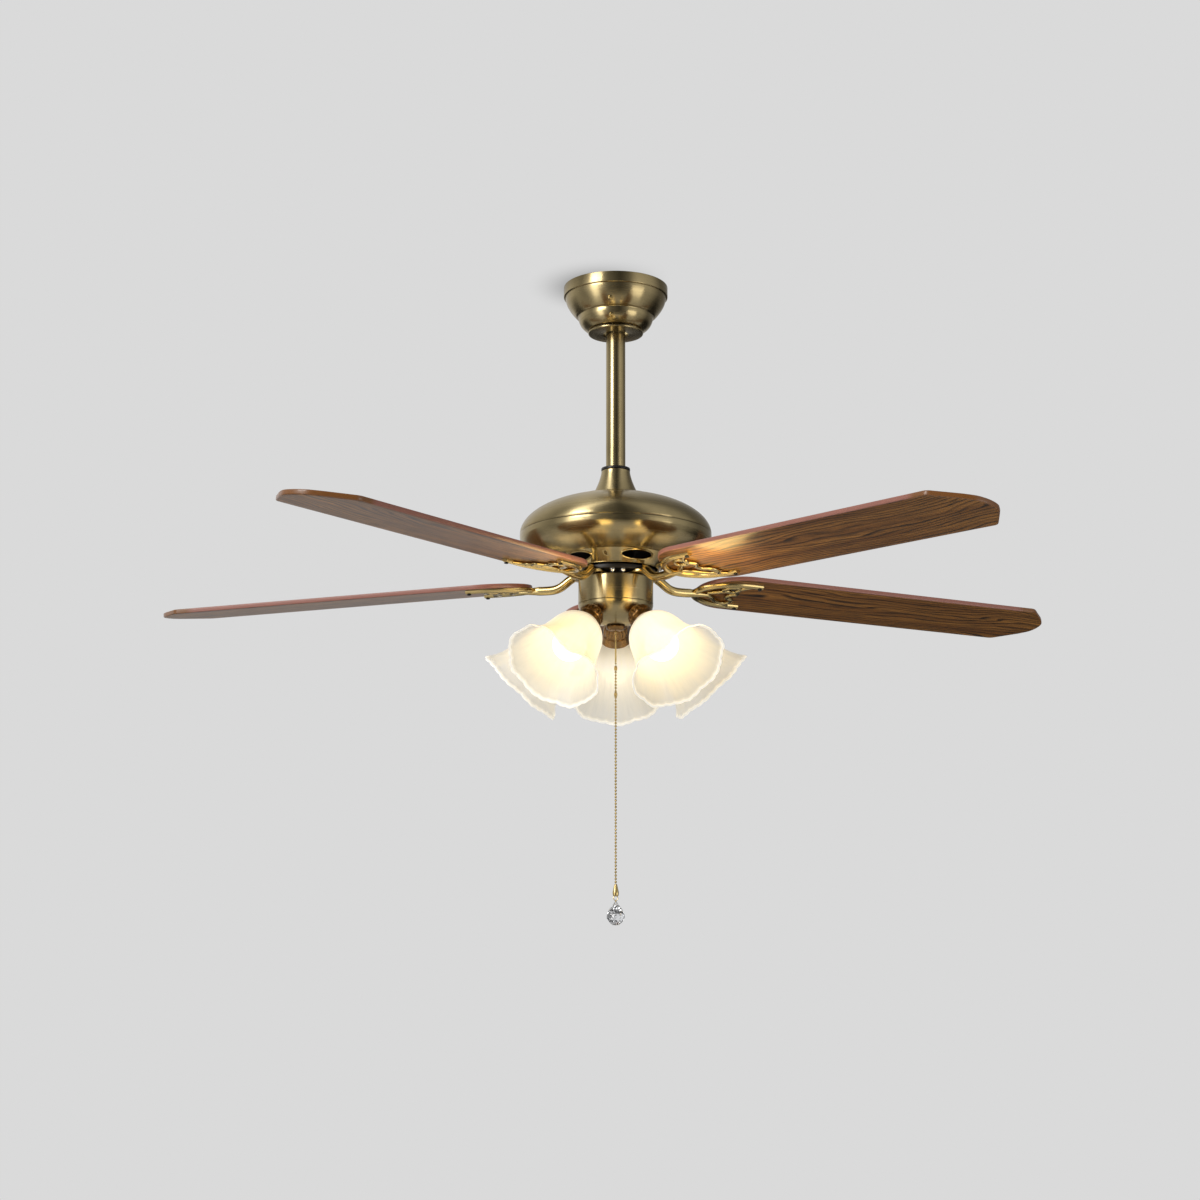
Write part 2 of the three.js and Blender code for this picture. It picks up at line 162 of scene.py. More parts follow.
def grid_part(grid, across=True, lengthways=False, finish=0, uv=None):
    """One surface over a grid of points, rows by columns, in millimetres.

    across joins the last column to the first; lengthways joins the last row to the first.
    """
    rows, columns = grid.shape[:2]
    i, j = np.meshgrid(
        np.arange(rows if lengthways else rows - 1),
        np.arange(columns if across else columns - 1),
        indexing="ij",
    )
    down, right = (i + 1) % rows, (j + 1) % columns
    faces = np.stack([i * columns + j, i * columns + right, down * columns + right, down * columns + j], -1)
    if uv is None:
        ring = np.concatenate([grid, grid[:, :1]], 1) if across else grid
        ring = np.concatenate([ring, ring[:1]], 0) if lengthways else ring
        v = along(ring[:, 0])
        u = along(ring[len(ring) // 2])
        uv = np.stack(np.meshgrid(v, u, indexing="ij")[::-1], -1) * MM
    corners = np.stack([uv[i, j], uv[i, j + 1], uv[i + 1, j + 1], uv[i + 1, j]], -2)
    return {
        "points": grid.reshape(-1, 3),
        "faces": faces.reshape(-1, 4),
        "uv": corners.reshape(-1, 4, 2),
        "finish": np.full(faces.shape[0] * faces.shape[1], finish),
    }


def turned(profile, sides=96, finish=0, closed=True, ripple=None):
    """A profile (r, z) turned about Z: x = r cos a, y = r sin a. ripple(r, z, a) may change the radius."""
    p = np.array(profile, float)
    angle = np.arange(sides) * TURN / sides
    r, z, a = p[:, :1], np.repeat(p[:, 1:], sides, 1), angle[None, :]
    radius = np.repeat(r, sides, 1)
    if ripple:
        radius = ripple(radius, z, a)
    grid = np.stack([radius * np.cos(a), radius * np.sin(a), z], -1)
    v = along(np.concatenate([p, p[:1]]) if closed else p)
    u = np.arange(sides + 1) / sides
    uv = np.stack(np.meshgrid(v * MM, u, indexing="ij")[::-1], -1)
    return grid_part(grid, True, closed, finish, uv)


def swept(path, section, up=(0, 0, 1), scale=1.0, finish=0, closed=False):
    """A section (side, height) carried along a path; side = up x tangent, height = tangent x side."""
    line = np.array(path, float)
    if closed:
        tangent = np.roll(line, -1, 0) - np.roll(line, 1, 0)
    else:
        tangent = np.gradient(line, axis=0)
    tangent /= np.linalg.norm(tangent, axis=1, keepdims=True)
    side = np.cross(np.array(up, float), tangent)
    side /= np.linalg.norm(side, axis=1, keepdims=True)
    height = np.cross(tangent, side)
    section = np.array(section, float)
    size = np.broadcast_to(np.asarray(scale, float), (len(line),))[:, None, None]
    if section.ndim == 2:
        section = np.repeat(section[None], len(line), 0)
    grid = line[:, None] + size * (section[..., :1] * side[:, None] + section[..., 1:] * height[:, None])
    if not closed:
        first = np.repeat(grid[:1].mean(1, keepdims=True), grid.shape[1], 1)
        last = np.repeat(grid[-1:].mean(1, keepdims=True), grid.shape[1], 1)
        grid = np.concatenate([first, grid, last])
    return grid_part(grid, True, closed, finish)


def circle(radius, sides=14, flat=1.0):
    """Points of an ellipse, radius wide and radius*flat high."""
    a = np.arange(sides) * TURN / sides
    return np.stack([radius * np.cos(a), radius * flat * np.sin(a)], -1)


def moved(part, matrix):
    """The same part with its points taken through a 4x4 matrix whose shift is in millimetres."""
    m = np.array(matrix)
    return {**part, "points": part["points"] @ m[:3, :3].T + m[:3, 3]}


def spoke(angle):
    """A turn about the fan's axis."""
    return Matrix.Rotation(angle, 4, "Z")


def blade_frame(index):
    """From a blade's own frame (x out, y across, z thickness) to the fan's."""
    lean = Euler((-BLADE_PITCH, BLADE_DROOP, 0), "XYZ").to_matrix().to_4x4()
    return spoke(BLADE_FIRST + index * STEP) @ Matrix.Translation(BLADE_HINGE) @ lean


def lamp_frame(index):
    """From a lamp's own frame (z out of the glass) to the fan's."""
    lean = Matrix.Rotation(math.pi / 2 + LAMP_BELOW, 4, "Y")
    return spoke(LAMP_FIRST + index * STEP) @ Matrix.Translation(LAMP_PLACE) @ lean


def piece(name, parts, materials, body, nodes=(), crease=38, level=None):
    """One object from a list of parts: doubles merged, normals outward, smooth up to the crease angle.

    The finish number of a part picks its material from the list. level lowers the whole piece.
    """
    level = BODY_LEVEL[body] if level is None else level
    starts = np.cumsum([0] + [len(part["points"]) for part in parts])
    points = np.concatenate([part["points"] for part in parts]) + (0, 0, level)
    faces = np.concatenate([part["faces"] + start for part, start in zip(parts, starts)])
    mesh = bpy.data.meshes.new(name)
    mesh.from_pydata((points * MM).tolist(), [], faces.tolist())
    corners = np.concatenate([part["uv"] for part in parts])
    finish = np.concatenate([part["finish"] for part in parts])
    mesh.uv_layers.new(name="UVMap").data.foreach_set("uv", corners.ravel())
    mesh.polygons.foreach_set("material_index", finish.astype(np.int32))
    builder = bmesh.new()
    builder.from_mesh(mesh)
    bmesh.ops.remove_doubles(builder, verts=builder.verts, dist=2e-6)
    bmesh.ops.recalc_face_normals(builder, faces=builder.faces)
    builder.to_mesh(mesh)
    builder.free()
    for material in materials:
        mesh.materials.append(material)
    mesh.shade_smooth()
    mesh.set_sharp_from_angle(angle=math.radians(crease))
    obj = bpy.data.objects.new(name, mesh)
    bpy.context.scene.collection.objects.link(obj)
    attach(obj, body)
    if nodes:
        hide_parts(*nodes)
    return obj


# ------------------------------------------------------------------ material building blocks

class Board:
    """Adds nodes to a tree and wires them up. A value may be a number, a colour or another node's output."""

    def __init__(self, tree):
        """Keep the tree that the nodes go into."""
        self.tree = tree

    def add(self, kind, settings=None, **inputs):
        """A new node with its settings, and its inputs fed by name."""
        node = self.tree.nodes.new(kind)
        for key, value in (settings or {}).items():
            setattr(node, key, value)
        for key, value in inputs.items():
            self.feed(node.inputs[key.replace("_", " ")], value)
        return node

    def feed(self, socket, value):
        """Link an output to the socket, or set the socket to a constant."""
        if isinstance(value, bpy.types.NodeSocket):
            self.tree.links.new(value, socket)
        else:
            socket.default_value = value

    def math(self, operation, *values, clamp=False):
        """One step of arithmetic."""
        node = self.tree.nodes.new("ShaderNodeMath")
        node.operation = operation
        node.use_clamp = clamp
        for socket, value in zip(node.inputs, values):
            self.feed(socket, value)
        return node.outputs[0]

    def mix(self, factor, first, second, blend="MIX"):
        """Two colours blended. The node's colour sockets are inputs 6 and 7 and output 2."""
        node = self.tree.nodes.new("ShaderNodeMix")
        node.data_type = "RGBA"
        node.blend_type = blend
        self.feed(node.inputs[0], factor)
        self.feed(node.inputs[6], first)
        self.feed(node.inputs[7], second)
        return node.outputs[2]

    def ramp(self, factor, stops):
        """A colour ramp through (place, colour) stops."""
        node = self.tree.nodes.new("ShaderNodeValToRGB")
        first, last = node.color_ramp.elements
        first.position, first.color = stops[0]
        last.position, last.color = stops[-1]
        for place, colour in stops[1:-1]:
            node.color_ramp.elements.new(place).color = colour
        self.feed(node.inputs[0], factor)
        return node.outputs["Color"]

    def noise(self, vector, scale, detail=3.0, rough=0.55):
        """Smooth noise from 0 to 1."""
        node = self.add("ShaderNodeTexNoise", None, Vector=vector, Scale=scale, Detail=detail,
                        Roughness=rough)
        return node.outputs["Fac"]

    def stretch(self, vector, scale):
        """A vector times a scale, axis by axis."""
        node = self.add("ShaderNodeMapping", None, Vector=vector)
        node.inputs["Scale"].default_value = scale
        return node.outputs["Vector"]

    def bump(self, shader, height, strength, distance):
        """Raise the shader's surface by a height from 0 to 1 times a distance in metres."""
        node = self.add("ShaderNodeBump", None, Height=height, Strength=strength, Distance=distance)
        self.feed(shader.inputs["Normal"], node.outputs["Normal"])


def grey(value):
    """An opaque grey."""
    return (value, value, value, 1.0)


def greys(*stops):
    """Grey stops for a ramp, from (place, brightness) pairs."""
    return [(place, grey(value)) for place, value in stops]


def dimmed(colour, share):
    """A colour with each channel times a share."""
    return tuple(channel * share for channel in colour)


def new_group(name, inputs, outputs):
    """A shader node group with named sockets; gives its board and its two end nodes."""
    group = bpy.data.node_groups.new(name, "ShaderNodeTree")
    for label, kind, default in inputs:
        socket = group.interface.new_socket(label, in_out="INPUT", socket_type=kind)
        if default is not None:
            socket.default_value = default
    for label, kind in outputs:
        group.interface.new_socket(label, in_out="OUTPUT", socket_type=kind)
    board = Board(group)
    return board, board.add("NodeGroupInput"), board.add("NodeGroupOutput")


def brushing_group():
    """Fine turned scratches: noise squeezed hard along the profile and hardly at all around the axis."""
    b, start, end = new_group(
        "brushed_scratches",
        [("Vector", "NodeSocketVector", None)],
        [("Scratch", "NodeSocketFloat"), ("Band", "NodeSocketFloat")],
    )
    place = start.outputs["Vector"]
    b.feed(end.inputs["Scratch"], b.noise(b.stretch(place, (5.0, 1500.0, 1.0)), 1.0, 4.0, 0.7))
    b.feed(end.inputs["Band"], b.noise(b.stretch(place, (2.0, 140.0, 1.0)), 1.0, 2.0))


def tarnish_group():
    """Soft clouds where lacquered metal has darkened: noise above 0.42, times the amount."""
    b, start, end = new_group(
        "tarnish",
        [("Vector", "NodeSocketVector", None), ("Amount", "NodeSocketFloat", 0.5)],
        [("Mask", "NodeSocketFloat")],
    )
    clouds = b.noise(start.outputs["Vector"], 18.0, 5.0, 0.6)
    lifted = b.math("SMOOTH_MAX", b.math("SUBTRACT", clouds, 0.42), 0.0, 0.05)
    b.feed(end.inputs["Mask"], b.math("MULTIPLY", lifted, start.outputs["Amount"], clamp=True))


def new_material(name):
    """A node material with its board and its Principled shader."""
    material = bpy.data.materials.new(f"finish_{name}")
    material.use_nodes = True
    board = Board(material.node_tree)
    return material, board, material.node_tree.nodes["Principled BSDF"]


def coordinates(board, which="Object"):
    """Places on the piece: Object in metres, UV as its grid was made."""
    return board.add("ShaderNodeTexCoord").outputs[which]


def brass_material(name, bright, dark, roughness, brushed=True, anisotropic=0.0):
    """Lacquered metal: turned scratches or cast mottling, with tarnish clouds in the colour."""
    material, b, shader = new_material(name)
    tarnish = b.add("ShaderNodeGroup", {"node_tree": bpy.data.node_groups["tarnish"]}, Amount=1.4)
    b.feed(tarnish.inputs["Vector"], coordinates(b))
    if brushed:
        marks = b.add("ShaderNodeGroup", {"node_tree": bpy.data.node_groups["brushed_scratches"]})
        b.feed(marks.inputs["Vector"], coordinates(b, "UV"))
        scratch, band = marks.outputs["Scratch"], marks.outputs["Band"]
    else:
        scratch = b.noise(coordinates(b), 900.0, 2.0)
        band = b.noise(coordinates(b), 90.0, 4.0)
    tone = b.mix(b.math("MULTIPLY", scratch, 0.5), (*bright, 1), (*dark, 1))
    tone = b.mix(tarnish.outputs["Mask"], tone, (*dark, 1))
    b.feed(shader.inputs["Base Color"], tone)
    shader.inputs["Metallic"].default_value = 1.0
    spread = b.math("MULTIPLY_ADD", b.math("ADD", scratch, band), 0.12, roughness - 0.12)
    b.feed(shader.inputs["Roughness"], spread)
    shader.inputs["Anisotropic"].default_value = anisotropic
    shader.inputs["Anisotropic Rotation"].default_value = 0.25
    b.bump(shader, scratch, 0.02 if brushed else 0.08, 0.0004)
    return material


def plain_metal(name, colour, roughness, metallic=1.0):
    """Zinc-plated or painted metal with fine grain in its gloss."""
    material, b, shader = new_material(name)
    grain = b.noise(coordinates(b), 700.0, 3.0)
    clouds = b.noise(coordinates(b), 40.0, 3.0)
    b.feed(shader.inputs["Base Color"], b.mix(clouds, (*dimmed(colour, 0.72), 1), (*colour, 1)))
    b.feed(shader.inputs["Roughness"], b.math("MULTIPLY_ADD", grain, 0.2, roughness - 0.1))
    shader.inputs["Metallic"].default_value = metallic
    b.bump(shader, grain, 0.08, 0.0003)
    return material


def walnut_material(looks):
    """Dark walnut under satin lacquer: warped growth rings, black latewood lines and fine pores."""
    material, b, shader = new_material("walnut")
    flat = coordinates(b, "UV")
    warp = b.noise(b.stretch(flat, (3.4, 11.0, 1.0)), 1.0, 2.0, 0.45)
    ripple = b.noise(b.stretch(flat, (9.0, 90.0, 1.0)), 1.0, 3.0, 0.6)
    across = b.add("ShaderNodeSeparateXYZ", None, Vector=flat).outputs["Y"]
    bend = b.math("MULTIPLY_ADD", warp, 11.0, b.math("MULTIPLY", across, 112.0))
    rings = b.math("MULTIPLY_ADD", ripple, 0.9, bend)
    saw = b.math("FRACT", rings)
    line = b.ramp(saw, greys((0.0, 1.0), (0.16, 0.95), (0.36, 0.15), (0.86, 0.0), (1.0, 1.0)))
    wide = b.noise(b.stretch(flat, (3.0, 40.0, 1.0)), 1.0, 3.0)
    pores = b.noise(b.stretch(flat, (26.0, 900.0, 1.0)), 1.0, 3.0)
    light, mid, black = (*looks.walnut_light, 1), (*looks.walnut, 1), (*looks.walnut_line, 1)
    tone = b.mix(b.ramp(wide, greys((0.32, 0.0), (0.68, 1.0))), mid, light)
    strength = b.noise(b.stretch(flat, (4.0, 60.0, 1.0)), 1.0, 2.0)
    strength = b.ramp(strength, greys((0.3, 0.4), (0.58, 1.0)))
    tone = b.mix(b.math("MULTIPLY", line, strength), tone, black)
    streak = b.ramp(pores, greys((0.46, 0.0), (0.66, 0.8)))
    tone = b.mix(streak, tone, black)
    b.feed(shader.inputs["Base Color"], tone)
    b.feed(shader.inputs["Roughness"], b.math("MULTIPLY_ADD", pores, 0.16, 0.26))
    shader.inputs["Specular IOR Level"].default_value = 0.45
    shader.inputs["Specular Tint"].default_value = (1.0, 0.60, 0.28, 1)
    b.bump(shader, b.math("ADD", pores, line), 0.1, 0.0002)
    return material


def edge_material(looks):
    """Mahogany-coloured edge band with faint grain; beyond 0.593 m from the axis it turns walnut."""
    material, b, shader = new_material("edge_band")
    grain = b.noise(b.stretch(coordinates(b), (60.0, 60.0, 900.0)), 1.0, 3.0)
    dark = dimmed(looks.edge_band, 0.6)
    reach = b.add("ShaderNodeVectorMath", {"operation": "LENGTH"})
    b.feed(reach.inputs[0], b.stretch(coordinates(b), (1.0, 1.0, 0.0)))
    tip = b.math("MULTIPLY_ADD", reach.outputs["Value"], 90.0, -53.4, clamp=True)
    band = b.mix(grain, (*dark, 1), (*looks.edge_band, 1))
    b.feed(shader.inputs["Base Color"], b.mix(tip, band, (*looks.walnut, 1)))
    b.feed(shader.inputs["Roughness"], b.math("MULTIPLY_ADD", grain, 0.15, 0.32))
    shader.inputs["Coat Weight"].default_value = 0.3
    return material


def glass_material(looks):
    """Frosted glass with painted light: an emission glow stands in for the bulbs' light and fades along the
    glass, the base colour is warmer near the neck and whiter at the rim, and the flare lets the room through.

    The grid's second coordinate runs 0 to 1 down the outside and on from 1 to 2 back up the inside.
    """
    material, b, shader = new_material("frosted_glass")
    way = b.add("ShaderNodeSeparateXYZ", None, Vector=coordinates(b, "UV")).outputs["Y"]
    down = b.math("PINGPONG", way, 1.0)
    inside = b.math("GREATER_THAN", way, 1.03)
    flutes = b.noise(b.stretch(coordinates(b, "UV"), (46.0, 3.0, 1.0)), 1.0, 3.0, 0.6)
    frost = b.noise(coordinates(b), 420.0, 3.0, 0.6)
    veil = b.noise(b.stretch(coordinates(b, "UV"), (9.0, 12.0, 1.0)), 1.0, 2.0)
    # Painted light in the base colour: warmer near the bulb at the neck, greyer down the flare, whitest along
    # the rim.
    tint = b.ramp(down, [
        (0.0, (0.95, 0.90, 0.78, 1)), (0.5, (0.92, 0.87, 0.74, 1)), (0.8, (0.86, 0.84, 0.76, 1)),
        (0.96, (0.88, 0.86, 0.80, 1)), (1.0, (1.0, 0.98, 0.92, 1))])
    tint = b.mix(b.math("MULTIPLY", veil, 0.3), tint, (*looks.glass, 1))
    # Painted shade: the base colour darkens to brown along the flute creases.
    crease = b.ramp(flutes, greys((0.42, 0.0), (0.62, 0.25)))
    tint = b.mix(crease, tint, (0.72, 0.66, 0.54, 1))
    b.feed(shader.inputs["Base Color"], tint)
    # Painted glow: emission colour along the glass, dim at the neck, brightest near the bulb, fading down the
    # flare, with a bright line at the rim.
    lit = b.ramp(down, [
        (0.0, (0.30, 0.27, 0.22, 1)), (0.14, (0.60, 0.55, 0.45, 1)), (0.34, (1.0, 0.96, 0.86, 1)),
        (0.52, (0.92, 0.85, 0.70, 1)), (0.74, (0.50, 0.46, 0.38, 1)), (0.955, (0.26, 0.25, 0.22, 1)),
        (0.985, (0.66, 0.64, 0.58, 1))])
    # Painted light on the flutes: the painted glow is dimmed and brightened along them.
    painted_flute_glow = b.mix(flutes, grey(0.55), grey(1.25))
    glow = b.mix(1.0, lit, painted_flute_glow, "MULTIPLY")
    # The inside of the glass gets the painted glow dimmer and browner.
    dimmer = b.mix(1.0, glow, (0.66, 0.58, 0.45, 1), "MULTIPLY")
    b.feed(shader.inputs["Emission Color"], b.mix(inside, glow, dimmer))
    shader.inputs["Emission Strength"].default_value = looks.painted_glass_glow
    see = b.ramp(down, greys((0.0, 0.98), (0.28, 0.92), (0.5, 0.66), (0.7, 0.56), (0.95, 0.50),
                             (0.985, 0.92)))
    clearer = b.math("SUBTRACT", see, 0.08)
    b.feed(shader.inputs["Alpha"], b.math("MULTIPLY_ADD", flutes, 0.16, clearer, clamp=True))
    b.feed(shader.inputs["Roughness"], b.math("MULTIPLY_ADD", frost, 0.2, 0.36))
    b.bump(shader, b.math("MULTIPLY_ADD", frost, 0.15, flutes), 0.35, 0.0012)
    return material


def bulb_material(looks):
    """Opal globe, lit: a white glow, a little warmer and dimmer towards its neck."""
    material, b, shader = new_material("opal_bulb")
    down = b.add("ShaderNodeSeparateXYZ", None, Vector=coordinates(b, "UV")).outputs["Y"]
    warm = b.ramp(down, [
        (0.0, (0.9, 0.72, 0.42, 1)), (0.5, (1.0, 0.95, 0.84, 1)), (1.0, (1.0, 0.98, 0.93, 1))])
    frost = b.noise(coordinates(b), 300.0, 2.0)
    b.feed(shader.inputs["Base Color"], warm)
    b.feed(shader.inputs["Emission Color"], warm)
    shader.inputs["Emission Strength"].default_value = looks.bulb_glow
    b.feed(shader.inputs["Roughness"], b.math("MULTIPLY_ADD", frost, 0.1, 0.25))
    return material


def crystal_material():
    """Clear cut crystal with faint striae."""
    material, b, shader = new_material("crystal")
    striae = b.noise(coordinates(b), 90.0, 2.0)
    b.feed(shader.inputs["Base Color"], b.mix(striae, (0.93, 0.95, 0.98, 1), (1, 1, 1, 1)))
    b.feed(shader.inputs["Roughness"], b.math("MULTIPLY", striae, 0.03))
    shader.inputs["IOR"].default_value = 1.6
    shader.inputs["Transmission Weight"].default_value = 1.0
    return material


def moulded_material(name, colour, roughness):
    """Moulded plastic or glazed clay: an even tone with a fine grain."""
    material, b, shader = new_material(name)
    grain = b.noise(coordinates(b), 800.0, 2.0)
    lighter = tuple(min(1.0, c * 1.3 + 0.01) for c in colour)
    b.feed(shader.inputs["Base Color"], b.mix(grain, (*colour, 1), (*lighter, 1)))
    b.feed(shader.inputs["Roughness"], b.math("MULTIPLY_ADD", grain, 0.15, roughness))
    b.bump(shader, grain, 0.1, 0.0003)
    return material


def make_materials(looks):
    """Every finish of the fan."""
    brushing_group()
    tarnish_group()
    brass_material("antique_brass", looks.brass, looks.brass_dark, 0.25, anisotropic=0.85)
    brass_material("cast_brass", looks.brass_polished, looks.brass_dark, 0.19, brushed=False)
    brass_material("bronze", looks.bronze, looks.bronze_dark, 0.28, brushed=False)
    brass_material("chain_brass", looks.brass_polished, looks.brass_dark, 0.26, brushed=False)
    plain_metal("steel", (0.66, 0.66, 0.68), 0.36)
    plain_metal("chrome", (0.82, 0.82, 0.84), 0.16)
    plain_metal("black_metal", (0.022, 0.019, 0.017), 0.38, 0.4)
    walnut_material(looks)
    edge_material(looks)
    glass_material(looks)
    bulb_material(looks)
    crystal_material()
    moulded_material("porcelain", (0.82, 0.79, 0.72), 0.25)
    moulded_material("black_plastic", (0.02, 0.02, 0.022), 0.45)


def use(*names):
    """The materials of the named finishes."""
    return [bpy.data.materials[f"finish_{name}"] for name in names]


# ------------------------------------------------------------------ properties

class FanLooks(bpy.types.PropertyGroup):
    """Colours and glow of the fan's finishes."""

    brass: FloatVectorProperty(name="Brass", description="Brushed antique brass", subtype="COLOR",
                               default=(0.50, 0.40, 0.21), min=0, max=1)
    brass_dark: FloatVectorProperty(name="Dark brass", description="Tarnish in the brass", subtype="COLOR",
                                    default=(0.24, 0.18, 0.085), min=0, max=1)
    brass_polished: FloatVectorProperty(name="Polished brass", description="Cast irons and chain",
                                        subtype="COLOR", default=(0.74, 0.56, 0.24), min=0, max=1)
    bronze: FloatVectorProperty(name="Bronze", description="Lamp holders", subtype="COLOR",
                                default=(0.36, 0.21, 0.085), min=0, max=1)
    bronze_dark: FloatVectorProperty(name="Dark bronze", description="Hollows of the lamp holders",
                                     subtype="COLOR", default=(0.14, 0.075, 0.03), min=0, max=1)
    walnut: FloatVectorProperty(name="Walnut", description="Ground colour of the blades", subtype="COLOR",
                                default=(0.19, 0.070, 0.013), min=0, max=1)
    walnut_light: FloatVectorProperty(name="Light walnut", description="Golden streaks in the blades",
                                      subtype="COLOR", default=(0.42, 0.185, 0.040), min=0, max=1)
    walnut_line: FloatVectorProperty(name="Walnut lines", description="Black grain lines", subtype="COLOR",
                                     default=(0.012, 0.006, 0.003), min=0, max=1)
    edge_band: FloatVectorProperty(name="Edge band", description="Band round the blades", subtype="COLOR",
                                   default=(0.36, 0.14, 0.10), min=0, max=1)
    glass: FloatVectorProperty(name="Glass", description="Frosted glass away from the bulb", subtype="COLOR",
                               default=(0.93, 0.90, 0.80), min=0, max=1)
    # Strength of the glass's painted glow, emission that stands in for the bulbs' light.
    painted_glass_glow: FloatProperty(name="Glass glow", description="How strongly the lit glass glows",
                              default=0.44, min=0)
    bulb_glow: FloatProperty(name="Bulb glow", description="How strongly the bulbs glow", default=1.9, min=0)


class FanDetail(bpy.types.PropertyGroup):
    """Counts and small sizes of the fan's details."""

    bead: FloatProperty(name="Bead", description="Diameter of a chain bead", unit="LENGTH", default=0.0032)
    bead_pitch: FloatProperty(name="Bead pitch", description="From bead to bead", unit="LENGTH",
                              default=0.0043)
    scallops: IntProperty(name="Scallops", description="Scallops round a glass's rim", default=30, min=6)
    petals: IntProperty(name="Petals", description="Ridges round a lamp holder", default=14, min=4)
    sides: IntProperty(name="Sides", description="Sides of the large turned pieces", default=128, min=24)


# ------------------------------------------------------------------ shapes of the pieces

def canopy_profile():
    """Rim band, rounded shoulder, upper bowl, step, lower bowl, then back up inside the wall."""
    band = fillet([(70.6, -0.1), (72, -0.1), (72, -14.4), (69.7, -15.0)], 0.7, 3, False)
    upper = flowing([(69.7, -15.0), (69.2, -18.5), (67.2, -24.5), (63.2, -31.6), (58.4, -37.8),
                     (55.2, -41.0)], 5)
    step = fillet([(54.9, -41.3), (52.4, -42.0), (51.4, -43.0), (51.4, -45.0)], 0.4, 2, False)
    lower = flowing([(51.4, -45.2), (50.6, -49.0), (47.9, -54.4), (43.6, -58.8), (39.6, -61.2)], 5)
    lip = fillet([(39.5, -61.3), (36.0, -61.9), (33.2, -61.9), (33.2, -60.6), (38.4, -59.8)], 0.4, 2, False)
    inside = flowing([(38.4, -59.8), (46.2, -53.6), (49.8, -45.2), (50.4, -41.4), (56.6, -37.0),
                      (65.4, -24.0), (69.6, -13.0), (70.6, -2.0)], 4)
    return np.concatenate([band, upper[1:], step, lower, lip, inside[1:]])


def groove(r):
    """Height of the dome's ring: a step of 0.9 up inside radius 59, and a groove 0.7 deep at 60.4."""
    return 0.9 / (1 + np.exp((r - 59) / 0.25)) - 0.7 * np.exp(-((r - 60.4) / 0.7) ** 2)


def dome_profile():
    """Ellipse from the equator to the yoke hole, raised a little inside the ring groove."""
    angle = np.linspace(0, math.acos(20 / DOME_RADIUS), 44)
    r, z = DOME_RADIUS * np.cos(angle), EQUATOR + DOME_HEIGHT * np.sin(angle)
    near = np.linspace(63, 56, 15)
    near_z = EQUATOR + DOME_HEIGHT * np.sqrt(1 - (near / DOME_RADIUS) ** 2)
    coarse = np.stack([r, z + groove(r)], -1)[(r > 63) | (r < 56)]
    outside = np.concatenate([coarse, np.stack([near, near_z + groove(near)], -1)])
    outside = outside[np.argsort(-outside[:, 0])]
    inner = np.linspace(math.acos(20 / 128.5), 0, 20)
    inside = np.stack([128.5 * np.cos(inner), EQUATOR + 53.4 * np.sin(inner)], -1)
    return np.concatenate([[(129.2, EQUATOR + 0.05)], outside[1:], inside])


def bowl_profile():
    """From the seam at the equator, a short band, then round to the rim of the vent plate."""
    band = fillet([(128.6, -330.35), (129.3, -330.35), (130.0, -331.0), (130.0, -334.0)], 0.4, 2, False)
    outside = flowing([(130, -334), (129, -339), (124.6, -345.8), (115.6, -352.8), (100.6, -358.8),
                       (86.5, -362.2), (78.6, -363.0)], 7)
    lip = fillet([(78.6, -363.0), (77.0, -363.4), (75.6, -362.6), (76.8, -361.4)], 0.5, 2, False)
    inside = flowing([(86, -360.6), (100, -357.2), (114.4, -351.4), (123.0, -344.6), (127.2, -338.4),
                      (128.5, -333.6)], 4)
    return np.concatenate([band, outside[1:-1], lip, inside])


def vent_sector(index, around=24, across=7):
    """One fifth of the vent plate, wrapped to a closed skin: (1 - q) * oval + q * sector edge.

    Both outlines are in bearing and in share of the slant.
    """
    s = np.linspace(-1, 1, around // 4, endpoint=False)
    one = np.ones_like(s)
    square = np.concatenate([np.stack(side, -1) for side in ((s, -one), (one, s), (-s, one), (-one, -s))])
    direction = np.arctan2(square[:, 1] * 9.0, square[:, 0] * 36.0)
    oval = np.stack([VENT_WIDE / VENT_RADIUS * np.cos(direction),
                     VENT_PLACE + VENT_HIGH / VENT_SLANT * np.sin(direction)], -1)
    border = np.stack([STEP / 2 * square[:, 0], 0.5 + 0.5 * square[:, 1]], -1)
    q = np.linspace(0, 1, across)[:, None, None] ** 1.2
    sheet = (1 - q) * oval + q * border
    angle = VENT_FIRST + index * STEP + sheet[..., 0]
    slope = VENT_LOW - VENT_TOP
    base = VENT_TOP + sheet[..., 1:] * slope
    inward = np.array([slope[1], -slope[0]]) / VENT_SLANT

    def skin(depth):
        """The sheet, moved a depth into the housing."""
        radius, height = base[..., 0] + depth * inward[0], base[..., 1] + depth * inward[1]
        return np.stack([radius * np.cos(angle), radius * np.sin(angle), height], -1)

    grid = np.concatenate([skin(0.0), skin(1.4)[::-1]])
    return grid_part(grid, True, True)


def vent_rim(index):
    """A rolled bead round one oval vent: a small circle carried round the oval."""
    a = np.linspace(0, TURN, 56, endpoint=False)
    centre = VENT_FIRST + index * STEP
    slope = VENT_LOW - VENT_TOP
    place = VENT_TOP + (VENT_PLACE + VENT_HIGH / VENT_SLANT * np.sin(a))[:, None] * slope
    angle = centre + VENT_WIDE / VENT_RADIUS * np.cos(a)
    line = np.stack([place[:, 0] * np.cos(angle), place[:, 0] * np.sin(angle), place[:, 1]], -1)
    up = (0.64 * math.cos(centre), 0.64 * math.sin(centre), -0.77)
    # The bead is real; finish 1, the brighter polished brass, paints its highlight.
    return swept(line, circle(1.3, 8), up, finish=1, closed=True)


